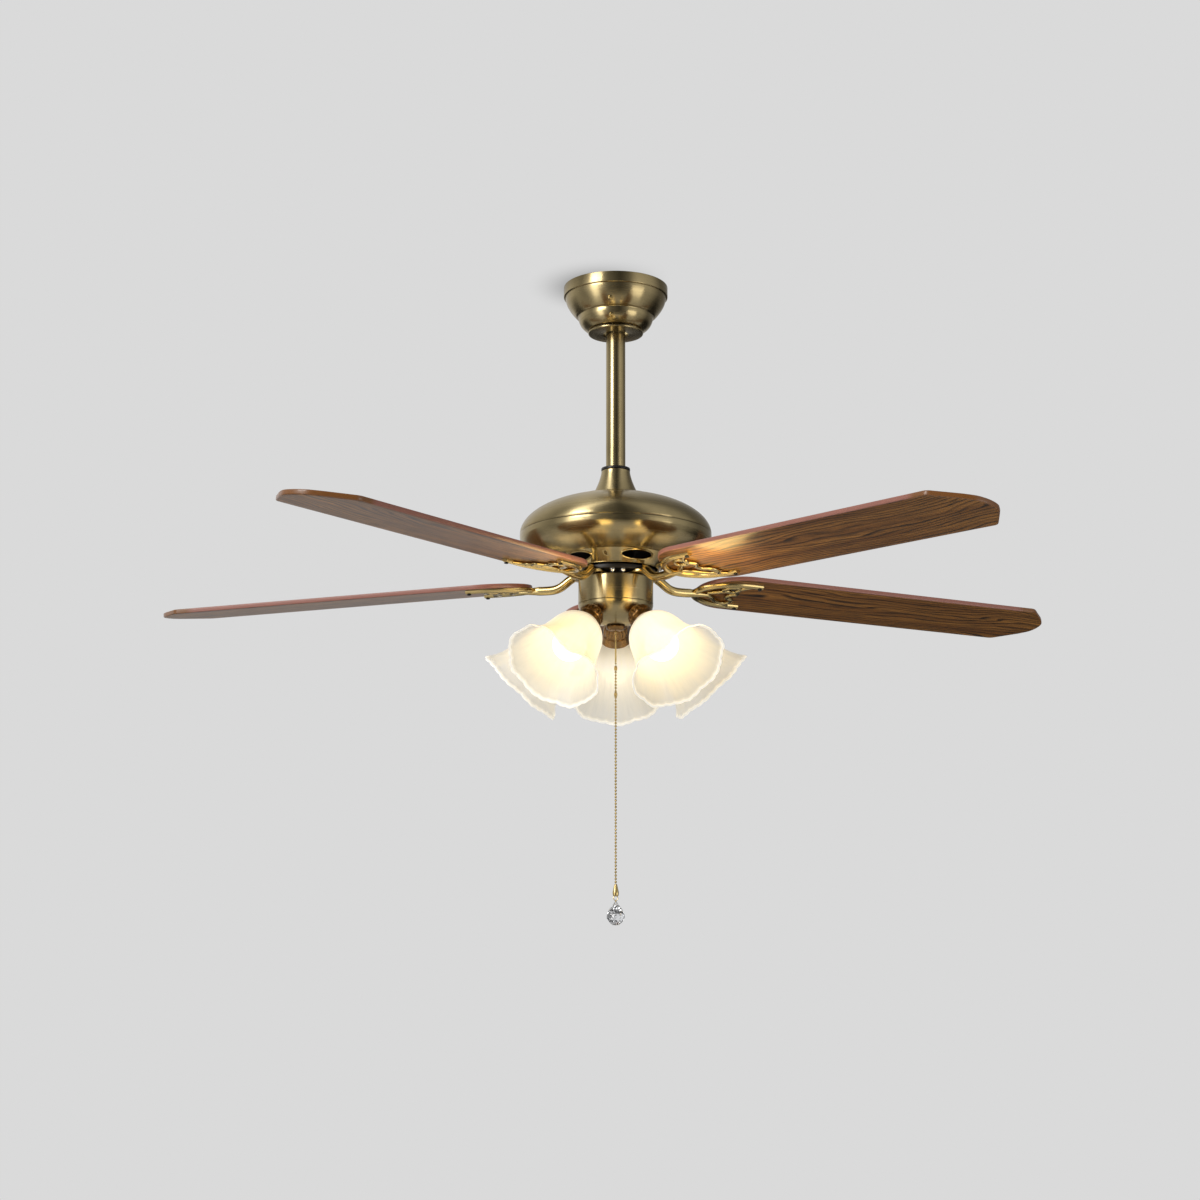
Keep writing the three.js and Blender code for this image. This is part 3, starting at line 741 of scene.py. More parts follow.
def blade_outline(count=12):
    """Rounded root, straight sides, cut corners and a rounded nose, as (x, y) round the blade."""
    tip, shoulder = SWEEP - BLADE_HINGE[0], 182 - BLADE_HINGE[0]
    a = np.linspace(math.pi / 2, 3 * math.pi / 2, 4 * count + 1)
    root = np.stack([shoulder + 62 * np.cos(a), BLADE_HALF * np.sin(a)], -1)
    side = np.stack([np.linspace(shoulder, tip - 43, 24), np.full(24, -BLADE_HALF)], -1)[1:-1]
    corner = fillet([(tip - 60, -BLADE_HALF), (tip - 41, -BLADE_HALF), (tip - 13, -32), (tip - 10, -28)],
                    5, 4, False)[1:-1]
    nose = flowing([(tip - 10, -28), (tip - 3.4, -18), (tip - 0.5, -6), (tip - 0.5, 6), (tip - 3.4, 18),
                    (tip - 10, 28)], 3)
    half = np.concatenate([side, corner])
    other = half[::-1] * (1, -1)
    return np.concatenate([root, half, nose, other])


def blade_part(index):
    """Rings shrink from the outline to the blade's spine on both faces; a rounded rim joins them."""
    edge = blade_outline()
    tangent = np.roll(edge, -1, 0) - np.roll(edge, 1, 0)
    tangent /= np.linalg.norm(tangent, axis=1, keepdims=True)
    inward = np.stack([-tangent[:, 1], tangent[:, 0]], -1)
    spine = np.stack([np.clip(edge[:, 0], -18, SWEEP - BLADE_HINGE[0] - 60), np.zeros(len(edge))], -1)
    half = BLADE_THICK / 2
    turn = np.linspace(0, math.pi / 2, 4)
    rim_in = np.concatenate([1.3 * (1 - np.sin(turn)), 1.3 * (1 - np.cos(turn))])
    rim_z = np.concatenate([half - 1.3 + 1.3 * np.cos(turn), -(half - 1.3) - 1.3 * np.sin(turn)])
    rim = edge[None] + inward[None] * rim_in[:, None, None]
    t = np.linspace(0, 1, 9)[:, None, None]
    top = spine[None] + (rim[0] - spine)[None] * t
    bottom = spine[None] + (rim[-1] - spine)[None] * t[::-1]
    flat = np.concatenate([top[:-1], rim, bottom[1:]])
    height = np.concatenate([np.full(8, half), rim_z, np.full(8, -half)])
    grid = np.concatenate([flat, np.broadcast_to(height[:, None, None], (*flat.shape[:2], 1))], -1)
    loop = np.concatenate([flat, flat[:, :1]], 1) * MM
    side = np.where(height > 0, 0.31, 0.0)[:, None]
    uv = np.stack([loop[..., 0] + index * 0.83, loop[..., 1] + index * 0.217 + side], -1)
    part = grid_part(grid, True, False, 0, uv)
    finish = np.zeros(flat.shape[0] - 1, int)
    finish[8:8 + len(rim) - 1] = 1
    part["finish"] = np.repeat(finish, flat.shape[1])
    return moved(part, blade_frame(index))


def half_round(wide, high, sides=9):
    """A flat-backed section: flat towards the blade, rounded away from it."""
    a = np.linspace(math.pi, TURN, sides)
    arc = np.stack([wide * np.cos(a), high * np.sin(a)], -1)
    return np.concatenate([[(wide, 0)], arc[::-1][1:-1], [(-wide, 0)]])


def arm_parts(index):
    """The round arm of one blade iron and the flat foot that is screwed to the flywheel."""
    arm = flowing([(56, 0, -386.3), (60.5, 0, -386.9), (66, 0, -390.2), (72, 0, -394.8), (79, 0, -399.2),
                   (88, 0, -401.6), (100, 0, -402.0), (112, 0, -401.7), (124, 0, -401.9), (136, 0, -402.4)],
                   6)
    arm_taper = np.interp(arm[:, 0], [56, 60, 108, 122, 136], [0.72, 1.0, 1.0, 0.74, 0.4])
    foot = fillet([(-11, -2.1), (11, -2.1), (11, 2.1), (-11, 2.1)], 0.8, 3)
    foot_line = np.stack([np.linspace(29, 59.5, 8), np.zeros(8), np.full(8, -388.5)], -1)
    foot_taper = np.interp(foot_line[:, 0], [29, 31, 56, 59.5], [0.9, 1.0, 1.0, 0.7])
    parts = [swept(arm, circle(6.1, 18), (0, 1, 0), arm_taper), swept(foot_line, foot, (0, 0, 1), foot_taper)]
    return [moved(part, spoke(BLADE_FIRST + index * STEP)) for part in parts]


def bracket_parts(index):
    """The pierced bracket under one blade: crescent frame with two horns, vine scrolls and a leaf eye."""
    a = np.linspace(math.pi / 2, 3 * math.pi / 2, 41)
    bend = np.stack([-22 + 60.5 * np.cos(a), 42.5 * np.sin(a)], -1)
    straight = np.linspace(-1, -18, 7)
    horn = np.stack([straight, 42.5 - 0.012 * (straight + 18)], -1)
    route = np.concatenate([horn, bend[1:-1], horn[::-1] * (1, -1)])
    crescent = np.concatenate([route, np.full((len(route), 1), BRACKET_LEVEL)], -1)
    width = np.interp(np.arange(len(route)), [0, 8, 27, 46, len(route) - 1], [0.86, 0.92, 1.25, 0.92, 0.86])
    parts = [swept(crescent, half_round(4.7, 4.8), (0, 0, 1), width)]
    vines = [
        [(-16, -40), (-26, -31), (-30, -20), (-25, -10), (-33, -2), (-33, 8), (-24, 14), (-22, 24), (-27, 33),
         (-18, 40)],
        [(-66, 3), (-54, 12), (-44, 24), (-32, 31), (-20, 30)],
        [(-66, -3), (-55, -9), (-45, -16), (-36, -15)],
    ]
    for vine in vines:
        curve = flowing(vine, 7)
        line = np.concatenate([curve, np.full((len(curve), 1), VINE_LEVEL)], -1)
        taper = np.interp(np.linspace(0, 1, len(line)), [0, 0.15, 0.85, 1], [0.75, 1, 1, 0.6])
        parts.append(swept(line, circle(3.3, 10, 0.8), (0, 0, 1), taper))
    leaf = flowing([(-50, -20), (-41, -14), (-31, -17), (-27, -27), (-34, -33), (-44, -30)], 6, True)
    line = np.concatenate([leaf, np.full((len(leaf), 1), VINE_LEVEL)], -1)
    parts.append(swept(line, circle(2.7, 10, 0.85), (0, 0, 1), closed=True))
    return [moved(part, blade_frame(index)) for part in parts]


def screw_head(radius, high):
    """A pan head: flat seat, short side, domed top with a shallow hollow."""
    return turned([(0, 0), (radius, 0), (radius, -0.45 * high), (0.8 * radius, -0.85 * high),
                   (0.4 * radius, -high), (0.22 * radius, -0.55 * high), (0, -0.55 * high)], 20, 0, False)


def bracket_screws(index):
    """Screw heads at the two horn ends and on the leaf of one bracket."""
    parts = []
    for x, y, drop in [(-5.5, 42.4, 4.3), (-5.5, -42.4, 4.3), (-37, -24, 0.0)]:
        place = blade_frame(index) @ Matrix.Translation((x, y, BRACKET_LEVEL - drop))
        parts.append(moved(screw_head(2.9, 1.6 if drop else 3.4), place))
    return parts


def holder_profile():
    """Neck, domed cup and flared skirt ring, then back up inside."""
    neck = [(3, -37), (6.9, -37), (6.9, -27.4), (8.6, -27.0)]
    dome = flowing([(8.6, -27), (12.4, -25.2), (15.4, -21.0), (16.9, -15.4), (17.1, -10.4)], 6)
    skirt = fillet([(16.4, -9.2), (17.6, -8.2), (18.1, -5.0), (19.3, -1.2), (20.5, 1.5), (19.7, 1.6),
                    (17.9, -3.6), (16.2, -8.0), (15.9, -20), (3, -22.4)], 0.35, 2, False)
    return np.concatenate([neck, dome[1:], skirt])


def shade_profile(steps=64):
    """(radius, height) down the outside of the glass, evenly spaced."""
    line = flowing([(16.8, -3), (18.2, 2), (22.4, 5.8), (27.6, 10.6), (32.2, 17.0), (35.6, 25), (38.2, 35),
                    (40.4, 46), (43.0, 57), (46.8, 68), (52.0, 79), (58.2, 89), (65.2, 97.2)], 12)
    walked = along(line)
    even = np.linspace(0, walked[-1], steps)
    return np.stack([np.interp(even, walked, line[:, k]) for k in (0, 1)], -1)


def shade_part(index, scallops, sides=360):
    """Fluted bell: the profile's radius plus flutes and waves growing to the rim, less a fold at the lip.

    The rim's height rises and falls with the scallops.
    """
    outer = shade_profile()
    tangent = np.gradient(outer, axis=0)
    tangent /= np.linalg.norm(tangent, axis=1, keepdims=True)
    normal = np.stack([tangent[:, 1], -tangent[:, 0]], -1)
    wall = np.interp(np.linspace(0, 1, len(outer)), [0, 0.1, 1], [1.7, 2.3, 2.0])[:, None]
    inner = outer - normal * wall
    rim = np.array([[(outer[-1] + inner[-1])[k] / 2 for k in (0, 1)]]) + tangent[-1:] * 0.9
    line = np.concatenate([outer, rim, inner[::-1]])
    share = np.concatenate([np.linspace(0, 1, len(outer)), [1.0], np.linspace(1, 0, len(outer))])[:, None]
    a = (np.arange(sides) * TURN / sides)[None]
    r, z = np.repeat(line[:, :1], sides, 1), np.repeat(line[:, 1:], sides, 1)
    grow = np.clip((share - 0.38) / 0.62, 0, 1)
    flutes = 0.55 * np.abs(np.sin(a * scallops / 2)) * grow ** 1.2
    waves = 1.1 * np.cos(8 * a + 0.6) * grow ** 2 + 0.5 * np.cos(13 * a + 2.0) * grow ** 1.5
    away = np.angle(np.exp(1j * (a - (math.pi - LIP_TURNS[index]))))
    fold = np.where(np.abs(away) < 0.84, np.cos(away / 0.84 * math.pi / 2) ** 2, 0.0)
    notch = np.exp(-((np.abs(away) - 0.80) / 0.09) ** 2)
    flare = np.clip(r - 38.5, 0, None) * np.clip((z - 50) / 30, 0, 1)
    r = r + flutes + waves - 0.9 * fold * flare - 2.2 * notch * grow ** 3
    rise = 1.1 * np.abs(np.sin(a * scallops / 2)) - 1.1 + 0.7 * np.cos(8 * a + 0.6)
    z = z + grow ** 4 * rise + 1.5 * fold * grow ** 3
    grid = np.stack([r * np.cos(a), r * np.sin(a), z], -1)
    v = np.concatenate([share[:len(outer) + 1, 0], 2.0 - share[len(outer) + 1:, 0], [2.0]])
    u = np.arange(sides + 1) / sides
    uv = np.stack(np.meshgrid(v, u, indexing="ij")[::-1], -1)
    return moved(grid_part(grid, True, True, 0, uv), lamp_frame(index))


def bulb_profile():
    """Screw base, neck, then a globe 45 mm across."""
    a = np.linspace(math.radians(-56), math.pi / 2, 26)
    globe = np.stack([22.5 * np.cos(a), 49 + 22.5 * np.sin(a)], -1)
    neck = flowing([(12.4, -16.4), (12.4, 4), (12.4, 22), globe[0]], 5)
    return np.concatenate([[(0, -16.4)], neck[:-1], globe])


def bead_line(low, high, bead, pitch):
    """Radius along a bead chain: sqrt(R^2 - d^2), d to the nearest bead's centre, never under the wire's."""
    height = np.arange(low, high, pitch / 10)
    height = np.append(height, high)
    distance = (height - low) % pitch - pitch / 2
    radius = np.sqrt(np.clip((bead / 2) ** 2 - distance ** 2, 0.42 ** 2, None))
    return np.stack([radius, height], -1)


def crystal_part():
    """Faceted teardrop: rings of ten points, each ring turned half a step from the last."""
    rings = np.array([(0.9, -828.4), (4.6, -834), (8.8, -839.5), (11.9, -846), (12.0, -850.2), (8.2, -856.4),
                      (3.6, -859.7)])
    a = np.arange(10) * TURN / 10
    turn = (np.arange(len(rings)) % 2 * math.pi / 10)[:, None]
    grid = np.stack([rings[:, :1] * np.cos(a + turn), rings[:, :1] * np.sin(a + turn),
                     np.repeat(rings[:, 1:], 10, 1)], -1)
    first = np.repeat([[(0, 0, rings[0, 1] + 0.4)]], 10, 1)
    last = np.repeat([[(0, 0, -860.0)]], 10, 1)
    return grid_part(np.concatenate([first, grid, last]), True, False)


def ring_part(centre, radius, wire, across=(0, 1, 0), sides=28):
    """A wire ring that stands in the plane square to across."""
    a = np.linspace(0, TURN, sides, endpoint=False)
    axis = Vector(across).normalized()
    side = Vector((0, 0, 1)).cross(axis).normalized()
    up = np.array((0, 0, 1))
    line = np.array(centre) + radius * (np.cos(a)[:, None] * np.array(side) + np.sin(a)[:, None] * up)
    return swept(line, circle(wire, 8), tuple(axis), closed=True)


# ------------------------------------------------------------------ operators

class BuildOperator:
    """What the build steps share."""
    bl_options = {"REGISTER", "UNDO"}


class FAN_OT_finishes(BuildOperator, bpy.types.Operator):
    """Make every material and give the hidden frame pieces theirs"""
    bl_idname = "fan.finishes"
    bl_label = "Finishes"

    def execute(self, context):
        make_materials(context.scene.fan_looks)
        hidden = {
            "steel": ["hanger_bracket", "motor_yoke", "yoke_pin", "motor_shaft", "motor_stator",
                      "motor_rotor", "bearing_upper", "bearing_lower"],
            "black_metal": ["hanger_ball"],
            "black_plastic": ["capacitor", "pull_switch"],
            "porcelain": [f"lamp_socket_{i + 1}" for i in range(COUNT)],
        }
        for name, nodes in hidden.items():
            for node in nodes:
                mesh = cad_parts[node].data
                mesh.materials.clear()
                mesh.materials.append(use(name)[0])
        return {"FINISHED"}


class FAN_OT_canopy(BuildOperator, bpy.types.Operator):
    """Canopy, its bottom disc and its two screws"""
    bl_idname = "fan.canopy"
    bl_label = "Canopy"

    def execute(self, context):
        sides = context.scene.fan_detail.sides
        brass = use("antique_brass")
        piece("canopy_shell", [turned(canopy_profile(), sides)], brass, "ceiling_plate", ["canopy"])
        disc = fillet([(17.2, -63.95), (36.6, -63.95), (38, -64.8), (38, -66.4), (37, -67.25),
                       (17.2, -67.25)], 0.5, 3)
        piece("canopy_bottom_disc", [turned(disc, sides)], brass, "hanger", ["canopy_disc"])
        for index, (radius, height, lean) in enumerate([(61.6, -34.2, 35), (48.6, -54.6, 40)]):
            facing = Matrix.Rotation(math.radians(90 + lean), 4, "Y") @ Matrix.Rotation(math.pi, 4, "X")
            place = spoke(math.radians(-97)) @ Matrix.Translation((radius, 0, height)) @ facing
            piece(f"canopy_screw_head_{index + 1}", [moved(screw_head(3.2, 2.1), place)], use("cast_brass"),
                  "ceiling_plate", [f"canopy_screw_{index + 1}"])
        return {"FINISHED"}


class FAN_OT_downrod(BuildOperator, bpy.types.Operator):
    """Downrod, black collar and the cone over the yoke"""
    bl_idname = "fan.downrod"
    bl_label = "Downrod"

    def execute(self, context):
        low, high = (corner[2] / MM - MOTOR_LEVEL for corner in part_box("downrod"))
        tube = fillet([(11.4, low), (ROD_RADIUS, low), (ROD_RADIUS, high), (11.4, high)], 0.4, 2)
        piece("downrod_tube", [turned(tube, 64)], use("antique_brass"), "fan_body", ["downrod"],
              level=MOTOR_LEVEL)
        collar = fillet([(13.6, -240.15), (19.7, -240.15), (19.7, -236.6), (13.6, -236.6)], 0.7, 3)
        piece("black_collar", [turned(collar, 64)], use("black_metal"), "fan_body", ["rod_collar"],
              level=MOTOR_LEVEL)
        outside = flowing([(19.5, -241.2), (19.9, -244.6), (21.0, -249.2), (23.0, -255.6), (25.8, -262.6),
                           (29.0, -269.6), (31.5, -274.3)], 6)
        inside = flowing([(29.9, -274.3), (25.6, -265.6), (22.6, -258.6), (19.6, -248.8), (18.4, -242.8)], 5)
        cone = np.concatenate([[(13.7, -240.6), (19.0, -240.6)], outside, inside, [(13.7, -241.9)]])
        piece("yoke_cone", [turned(cone, 96)], use("antique_brass"), "fan_body", ["yoke_cover"],
              level=MOTOR_LEVEL)
        return {"FINISHED"}


class FAN_OT_housing(BuildOperator, bpy.types.Operator):
    """Motor housing: dome, lower bowl, vent plate with oval vents"""
    bl_idname = "fan.housing"
    bl_label = "Motor housing"

    def execute(self, context):
        sides = context.scene.fan_detail.sides
        brass = use("antique_brass")
        piece("housing_dome", [turned(dome_profile(), sides)], brass, "fan_body", ["housing_upper"],
              level=MOTOR_LEVEL)
        parts = [turned(bowl_profile(), sides)]
        parts += [vent_sector(i) for i in range(COUNT)]
        parts += [vent_rim(i) for i in range(COUNT)]
        lip = fillet([(57.4, -377.0), (59.6, -378.4), (58.6, -379.2), (56.9, -378.2)], 0.5, 3)
        parts.append(turned(lip, sides, finish=1))
        piece("housing_bowl", parts, use("antique_brass", "cast_brass"), "fan_body", ["housing_lower"],
              level=MOTOR_LEVEL)
        return {"FINISHED"}


class FAN_OT_flywheel(BuildOperator, bpy.types.Operator):
    """Black flywheel under the motor and the screws that hold the irons to it"""
    bl_idname = "fan.flywheel"
    bl_label = "Flywheel"

    def execute(self, context):
        wheel = fillet([(14, -386), (54, -386), (54, -380), (24, -380), (24, -350), (80, -350), (80, -345.8),
                        (14, -345.8)], 0.8, 3)
        piece("flywheel_casting", [turned(wheel, 96)], use("black_metal"), "rotor", ["flywheel"])
        for i in range(COUNT):
            between = spoke(BLADE_FIRST + (i + 0.5) * STEP)
            places = [between @ Matrix.Translation((46, side, -386.0)) for side in (-7, 7)]
            heads = [moved(screw_head(3.4, 4.2), place) for place in places]
            piece(f"flywheel_screws_{i + 1}", heads, use("chrome"), "rotor")
        return {"FINISHED"}


class FAN_OT_blades(BuildOperator, bpy.types.Operator):
    """Five walnut blades with a mahogany edge band"""
    bl_idname = "fan.blades"
    bl_label = "Blades"

    def execute(self, context):
        for i in range(COUNT):
            piece(f"walnut_blade_{i + 1}", [blade_part(i)], use("walnut", "edge_band"), "rotor",
                  [f"blade_{i + 1}"], crease=60)
        return {"FINISHED"}


class FAN_OT_irons(BuildOperator, bpy.types.Operator):
    """Five blade irons and the screws that hold them to the blades"""
    bl_idname = "fan.irons"
    bl_label = "Blade irons"

    def execute(self, context):
        for i in range(COUNT):
            piece(f"cast_iron_{i + 1}", arm_parts(i) + bracket_parts(i), use("cast_brass"), "rotor",
                  [f"blade_iron_{i + 1}"], crease=50)
            piece(f"blade_screws_{i + 1}", bracket_screws(i), use("black_metal"), "rotor")
        return {"FINISHED"}


class FAN_OT_light_kit(BuildOperator, bpy.types.Operator):
    """Switch cup, fitter bowl and bottom cap"""
    bl_idname = "fan.light_kit"
    bl_label = "Switch cup and fitter"

    def execute(self, context):
        sides = context.scene.fan_detail.sides
        brass = use("antique_brass")
        cup = fillet([(8.4, -398), (CUP_RADIUS, -398), (CUP_RADIUS, -431.9), (49.1, -431.9), (49.1, -399.5),
                      (8.4, -399.5)], 1.1, 4)
        piece("switch_cup_shell", [turned(cup, sides)], brass, "fan_body", ["switch_cup"],
              level=LIGHT_LEVEL)
        outside = flowing([(50.6, -432.8), (50.0, -436.6), (47.0, -443), (41.4, -449.4), (33.6, -454.6),
                           (24, -458.4), (15, -460.6), (9.6, -461.4)], 5)
        inside = flowing([(9.6, -460), (24, -456.8), (36, -451.4), (44.6, -443.6), (48.8, -436),
                          (49.2, -432.4)], 5)
        bowl = np.concatenate([outside, inside, [(50.2, -432.3)]])
        piece("fitter_bowl", [turned(bowl, sides)], brass, "fan_body", ["light_fitter"],
              level=LIGHT_LEVEL)
        cap = fillet([(4, -461.9), (12.9, -461.9), (13, -463.6), (11.6, -466), (8.6, -467.8), (4, -468.5)],
                     0.6, 3)
        piece("bottom_cap", [turned(cap, 64)], use("bronze"), "fan_body", ["fitter_cap"],
              level=LIGHT_LEVEL)
        return {"FINISHED"}


class FAN_OT_lamps(BuildOperator, bpy.types.Operator):
    """Lamp holders, glasses and bulbs"""
    bl_idname = "fan.lamps"
    bl_label = "Lamps"

    def execute(self, context):
        detail = context.scene.fan_detail
        petals = detail.petals

        def ridges(r, z, a):
            """Petals round the dome of a holder: r + on * (1.15 |cos(a * petals / 2)| - 0.75)."""
            on = np.clip((z + 27) / 3, 0, 1) * np.clip((-9.6 - z) / 3, 0, 1) * (r > 7.5)
            return r + on * (1.15 * np.abs(np.cos(a * petals / 2)) - 0.75)

        for i in range(COUNT):
            place = lamp_frame(i)
            piece(f"holder_{i + 1}", [moved(turned(holder_profile(), 112, ripple=ridges), place)],
                  use("bronze"), "fan_body", [f"lamp_holder_{i + 1}"], level=LIGHT_LEVEL)
            piece(f"glass_{i + 1}", [shade_part(i, detail.scallops)], use("frosted_glass"), "fan_body",
                  [f"shade_{i + 1}"], crease=75, level=LIGHT_LEVEL)
            globe = turned(bulb_profile(), 48, closed=False)
            piece(f"globe_{i + 1}", [moved(globe, place)], use("opal_bulb"), "fan_body", [f"bulb_{i + 1}"],
                  level=LIGHT_LEVEL)
        return {"FINISHED"}


class FAN_OT_chain(BuildOperator, bpy.types.Operator):
    """Pull chain: stem, link, bead chain with its couplings, bell, ring and crystal"""
    bl_idname = "fan.chain"
    bl_label = "Pull chain"

    def execute(self, context):
        detail = context.scene.fan_detail
        bead, pitch = detail.bead / MM, detail.bead_pitch / MM
        metal = use("chain_brass")
        stem = [(0, -511), (0.8, -511), (1.1, -510.4), (1.1, -470), (1.1, -456.4), (3, -456), (3, -452.6),
                (0, -452.6)]
        piece("switch_stem", [turned(stem, 20, closed=False)], metal, "chain_switch", ["chain_stem"])
        a = np.linspace(-math.pi / 2, math.pi / 2, 9)
        link = np.stack([1.3 * np.cos(a), -512.6 + 1.3 * np.sin(a)], -1)
        piece("top_link", [turned(link, 18, closed=False)], metal, "chain_joint", ["chain_link"])
        sleeve = [(0, -522), (1.3, -522), (2.0, -521.4), (2.2, -518.6), (1.7, -516), (1.0, -515.1), (0, -515)]
        upper = piece("upper_coupling", [turned(sleeve, 20, closed=False)], metal, "chain",
                      ["chain_coupling"])
        middle = [(0.6, -558), (1.6, -557.4), (2.2, -556.4), (2.2, -552.6), (1.6, -551.6), (0.6, -551)]
        lower = piece("lower_coupling", [turned(middle, 20)], metal, "chain")
        line = bead_line(CHAIN_END, CHAIN_TOP, bead, pitch)
        beads = np.concatenate([[(0, CHAIN_END)], line, [(0, CHAIN_TOP)]])
        chain = piece("bead_chain", [turned(beads, 10, closed=False)], metal, "chain", ["pull_chain"],
                      crease=80)
        bell = [(0, -822), (2.6, -822), (3.6, -821.2), (4.1, -817.2), (2.9, -811.4), (1.9, -807),
                (1.2, -806.1), (0, -806)]
        bell_piece = piece("bell", [turned(flowing(bell, 3), 24, closed=False)], metal, "chain",
                           ["chain_bell"])
        rings = [ring_part((0, 0, -824.6), 2.9, 0.5), ring_part((0, 0, -828.4), 1.7, 0.4, (1, 0, 0))]
        ring = piece("drop_rings", rings, metal, "chain")
        drop = piece("crystal", [crystal_part()], use("crystal"), "chain", ["crystal_drop"],
                     crease=1)
        return {"FINISHED"}


class FAN_OT_stage(BuildOperator, bpy.types.Operator):
    """Camera, floor, soft shadow on the ceiling, world and lights"""
    bl_idname = "fan.stage"
    bl_label = "Stage"

    def execute(self, context):
        scene = context.scene
        scene.view_settings.view_transform = "Standard"
        lens = bpy.data.cameras.new("camera")
        lens.sensor_width = 36
        lens.lens = LENS
        lens.shift_x = CAMERA_SHIFT
        lens.clip_end = 100
        camera = bpy.data.objects.new("camera", lens)
        camera.location = CAMERA_PLACE
        camera.rotation_euler = (math.pi / 2 + CAMERA_TILT, 0, 0)
        scene.collection.objects.link(camera)
        scene.camera = camera
        self.floor()
        self.ceiling_shadow()
        self.world(scene)
        self.lamps()
        return {"FINISHED"}

    def floor(self):
        """A pale square well under the fan."""
        x, y = np.meshgrid(np.linspace(-1600, 1600, 3), np.linspace(-1600, 1600, 3))
        part = grid_part(np.stack([x, y, np.full_like(x, -1700.0)], -1), False)
        material, b, shader = new_material("floor")
        speck = b.noise(coordinates(b), 30.0, 4.0)
        b.feed(shader.inputs["Base Color"], b.mix(speck, grey(0.68), grey(0.72)))
        shader.inputs["Roughness"].default_value = 0.8
        self.stage_piece("floor", part, material)

    def ceiling_shadow(self):
        """A thin ring under the ceiling that darkens softly beside the canopy, and is clear from above."""
        radius, angle = np.meshgrid(np.linspace(66, 150, 12), np.linspace(0, TURN, 49)[:-1])
        grid = np.stack([radius * np.cos(angle), radius * np.sin(angle), np.full_like(radius, 1.0)], -1)
        part = grid_part(grid.transpose(1, 0, 2), True)
        material, b, shader = new_material("ceiling_shadow")
        place = b.add("ShaderNodeSeparateXYZ", None, Vector=coordinates(b))
        distance = b.add("ShaderNodeVectorMath", {"operation": "LENGTH"})
        b.feed(distance.inputs[0], coordinates(b))
        reach = b.math("DIVIDE", b.math("SUBTRACT", distance.outputs["Value"], 0.07), 0.06)
        near = b.math("SUBTRACT", 1.0, reach, clamp=True)
        left = b.math("MULTIPLY_ADD", place.outputs["X"], -6.0, 0.45, clamp=True)
        fade = b.math("MULTIPLY", b.math("POWER", near, 2.2), left)
        below = b.math("SUBTRACT", 1.0, b.add("ShaderNodeNewGeometry").outputs["Backfacing"])
        b.feed(shader.inputs["Alpha"], b.math("MULTIPLY", b.math("MULTIPLY", fade, below), 0.48))
        shader.inputs["Base Color"].default_value = grey(0.0)
        shader.inputs["Roughness"].default_value = 1.0
        shader.inputs["Specular IOR Level"].default_value = 0.0
        self.stage_piece("ceiling_shadow", part, material)

    def stage_piece(self, name, part, material):
        """One part that belongs to the stage and not to the fan."""
        mesh = bpy.data.meshes.new(name)
        mesh.from_pydata((part["points"] * MM).tolist(), [], part["faces"].tolist())
        mesh.materials.append(material)
        obj = bpy.data.objects.new(name, mesh)
        bpy.context.scene.collection.objects.link(obj)

    def world(self, scene):
        """Flat pale grey to the camera; to everything else, soft boxes and dark cards around the fan."""
        world = bpy.data.worlds.new("studio")
        scene.world = world
        world.use_nodes = True
        b = Board(world.node_tree)
        world.node_tree.nodes.clear()
        parts = b.add("ShaderNodeSeparateXYZ", None, Vector=coordinates(b, "Generated"))
        x, y, z = (parts.outputs[k] for k in "XYZ")
        bearing = b.math("DIVIDE", b.math("ARCTAN2", x, b.math("MULTIPLY", y, -1.0)), TURN)
        bearing = b.math("ADD", bearing, 0.5)
        cards = b.ramp(bearing, greys(*CARDS))
        height = b.math("MULTIPLY_ADD", z, 0.5, 0.5)
        lift = b.ramp(height, greys((0.0, 0.8), (0.35, 0.75), (0.5, 1.0), (1.0, 0.9)))
        low = b.ramp(height, greys((0.0, 0.5), (0.16, 0.12), (0.36, 0.06), (0.46, 1.0)))
        behind = b.math("MULTIPLY_ADD", y, 3.0, -0.6, clamp=True)
        lift = b.mix(behind, lift, low)
        studio = b.add("ShaderNodeBackground", None, Color=b.mix(1.0, cards, lift, "MULTIPLY"))
        plain = b.add("ShaderNodeBackground", None, Color=grey(BACKGROUND))
        choose = b.add("ShaderNodeMixShader")
        b.feed(choose.inputs[0], b.add("ShaderNodeLightPath").outputs["Is Camera Ray"])
        b.feed(choose.inputs[1], studio.outputs[0])
        b.feed(choose.inputs[2], plain.outputs[0])
        out = b.add("ShaderNodeOutputWorld")
        b.feed(out.inputs["Surface"], choose.outputs[0])

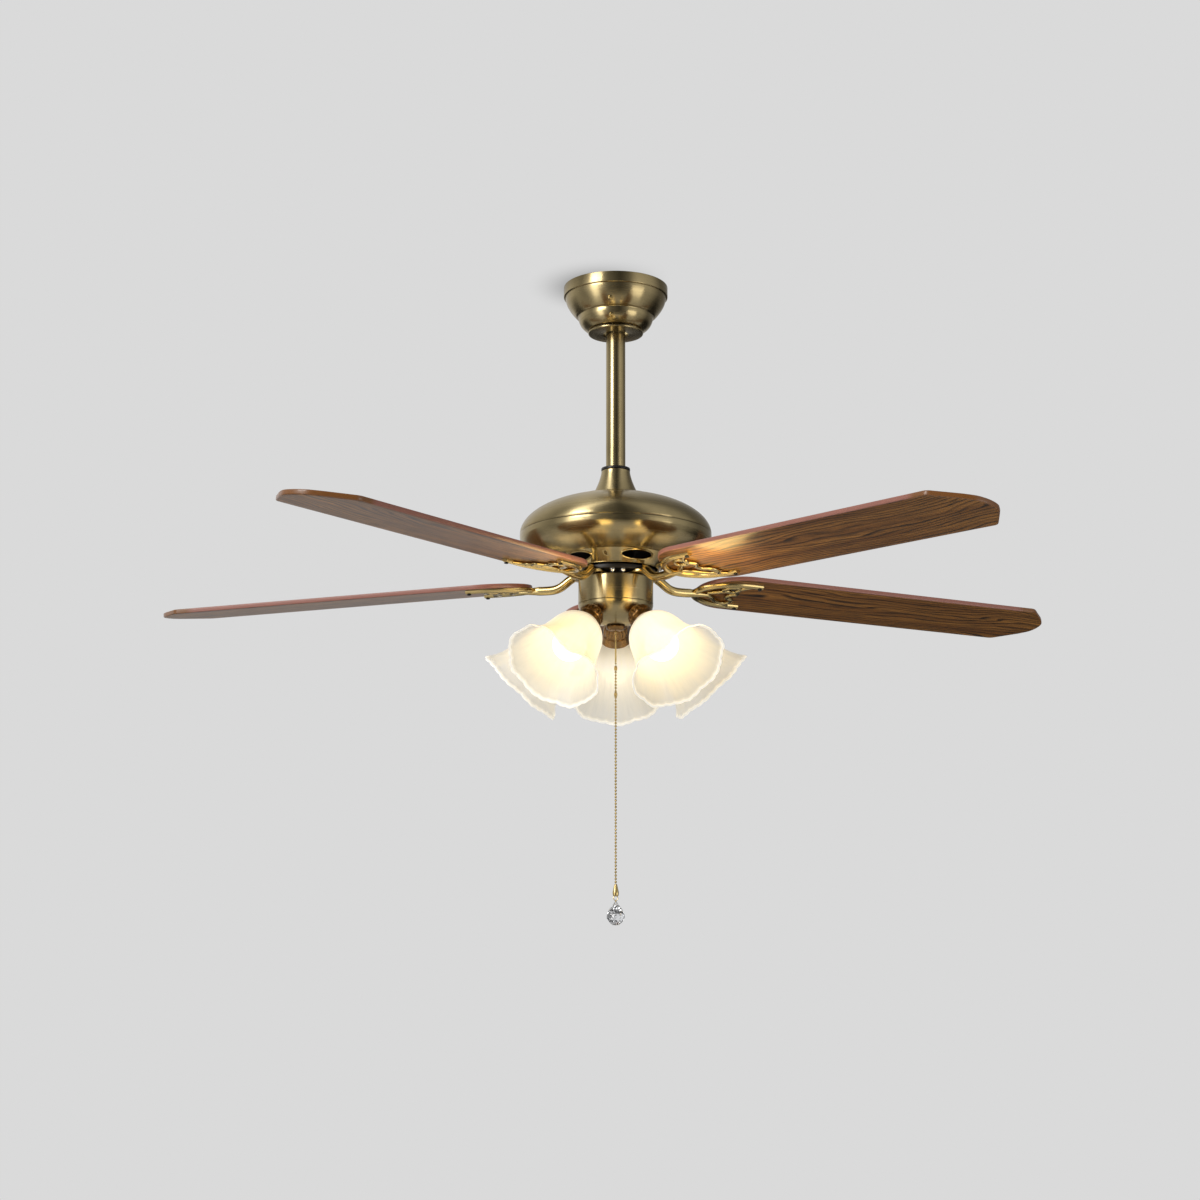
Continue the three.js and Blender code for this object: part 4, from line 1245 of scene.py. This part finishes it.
    def lamps(self):
        """A soft key from the upper left, a low fill from the right, and the warm glow of the glasses."""
        middle = Vector((0, 0, -0.4))
        for name, place, width, power, colour in KEY_LAMPS:
            lamp = self.lamp(name, "AREA", place, power, colour)
            lamp.data.size = width
            lamp.rotation_euler = (middle - Vector(place)).to_track_quat("-Z", "Y").to_euler()
        for i in range(COUNT):
            inside = Matrix.Translation((0, 0, LIGHT_LEVEL)) @ lamp_frame(i) @ Vector((0, 0, BULB_CENTRE))
            lamp = self.lamp(f"glow_{i + 1}", "POINT", inside * MM, 0.010, GLOW_COLOUR)
            lamp.data.shadow_soft_size = 0.022
            lamp.visible_camera = False
        for name, place, power in GLEAMS:
            lamp = self.lamp(name, "POINT", place, power, GLEAM_COLOUR)
            lamp.data.shadow_soft_size = 0.05
            lamp.visible_camera = False

    def lamp(self, name, kind, place, power, colour):
        """One light, linked to the scene."""
        data = bpy.data.lights.new(name, kind)
        data.energy, data.color = power, colour
        lamp = bpy.data.objects.new(name, data)
        lamp.location = place
        bpy.context.scene.collection.objects.link(lamp)
        return lamp


STEPS = [FAN_OT_stage, FAN_OT_finishes, FAN_OT_chain, FAN_OT_canopy, FAN_OT_downrod, FAN_OT_housing,
         FAN_OT_flywheel, FAN_OT_blades, FAN_OT_irons, FAN_OT_light_kit, FAN_OT_lamps]


class FAN_PT_panel(bpy.types.Panel):
    """Lists the build steps and the finishes in the sidebar"""
    bl_idname = "FAN_PT_panel"
    bl_label = "Ceiling fan"
    bl_space_type = "VIEW_3D"
    bl_region_type = "UI"
    bl_category = "Fan"

    def draw(self, context):
        """The sizes and finishes first, then a button for each step."""
        for group in (context.scene.fan_detail, context.scene.fan_looks):
            for key in group.bl_rna.properties.keys():
                if key not in {"rna_type", "name"}:
                    self.layout.prop(group, key)
        for step in STEPS:
            self.layout.operator(step.bl_idname)


CLASSES = [FanLooks, FanDetail, *STEPS, FAN_PT_panel]


def register():
    """Add the classes and the two property groups."""
    for item in CLASSES:
        bpy.utils.register_class(item)
    bpy.types.Scene.fan_looks = PointerProperty(type=FanLooks)
    bpy.types.Scene.fan_detail = PointerProperty(type=FanDetail)


def unregister():
    """Take them away again."""
    del bpy.types.Scene.fan_looks
    del bpy.types.Scene.fan_detail
    for item in reversed(CLASSES):
        bpy.utils.unregister_class(item)


def main():
    """Build everything in order."""
    register()
    for step in STEPS:
        family, action = step.bl_idname.split(".")
        getattr(getattr(bpy.ops, family), action)()


if __name__ == "__main__":
    main()
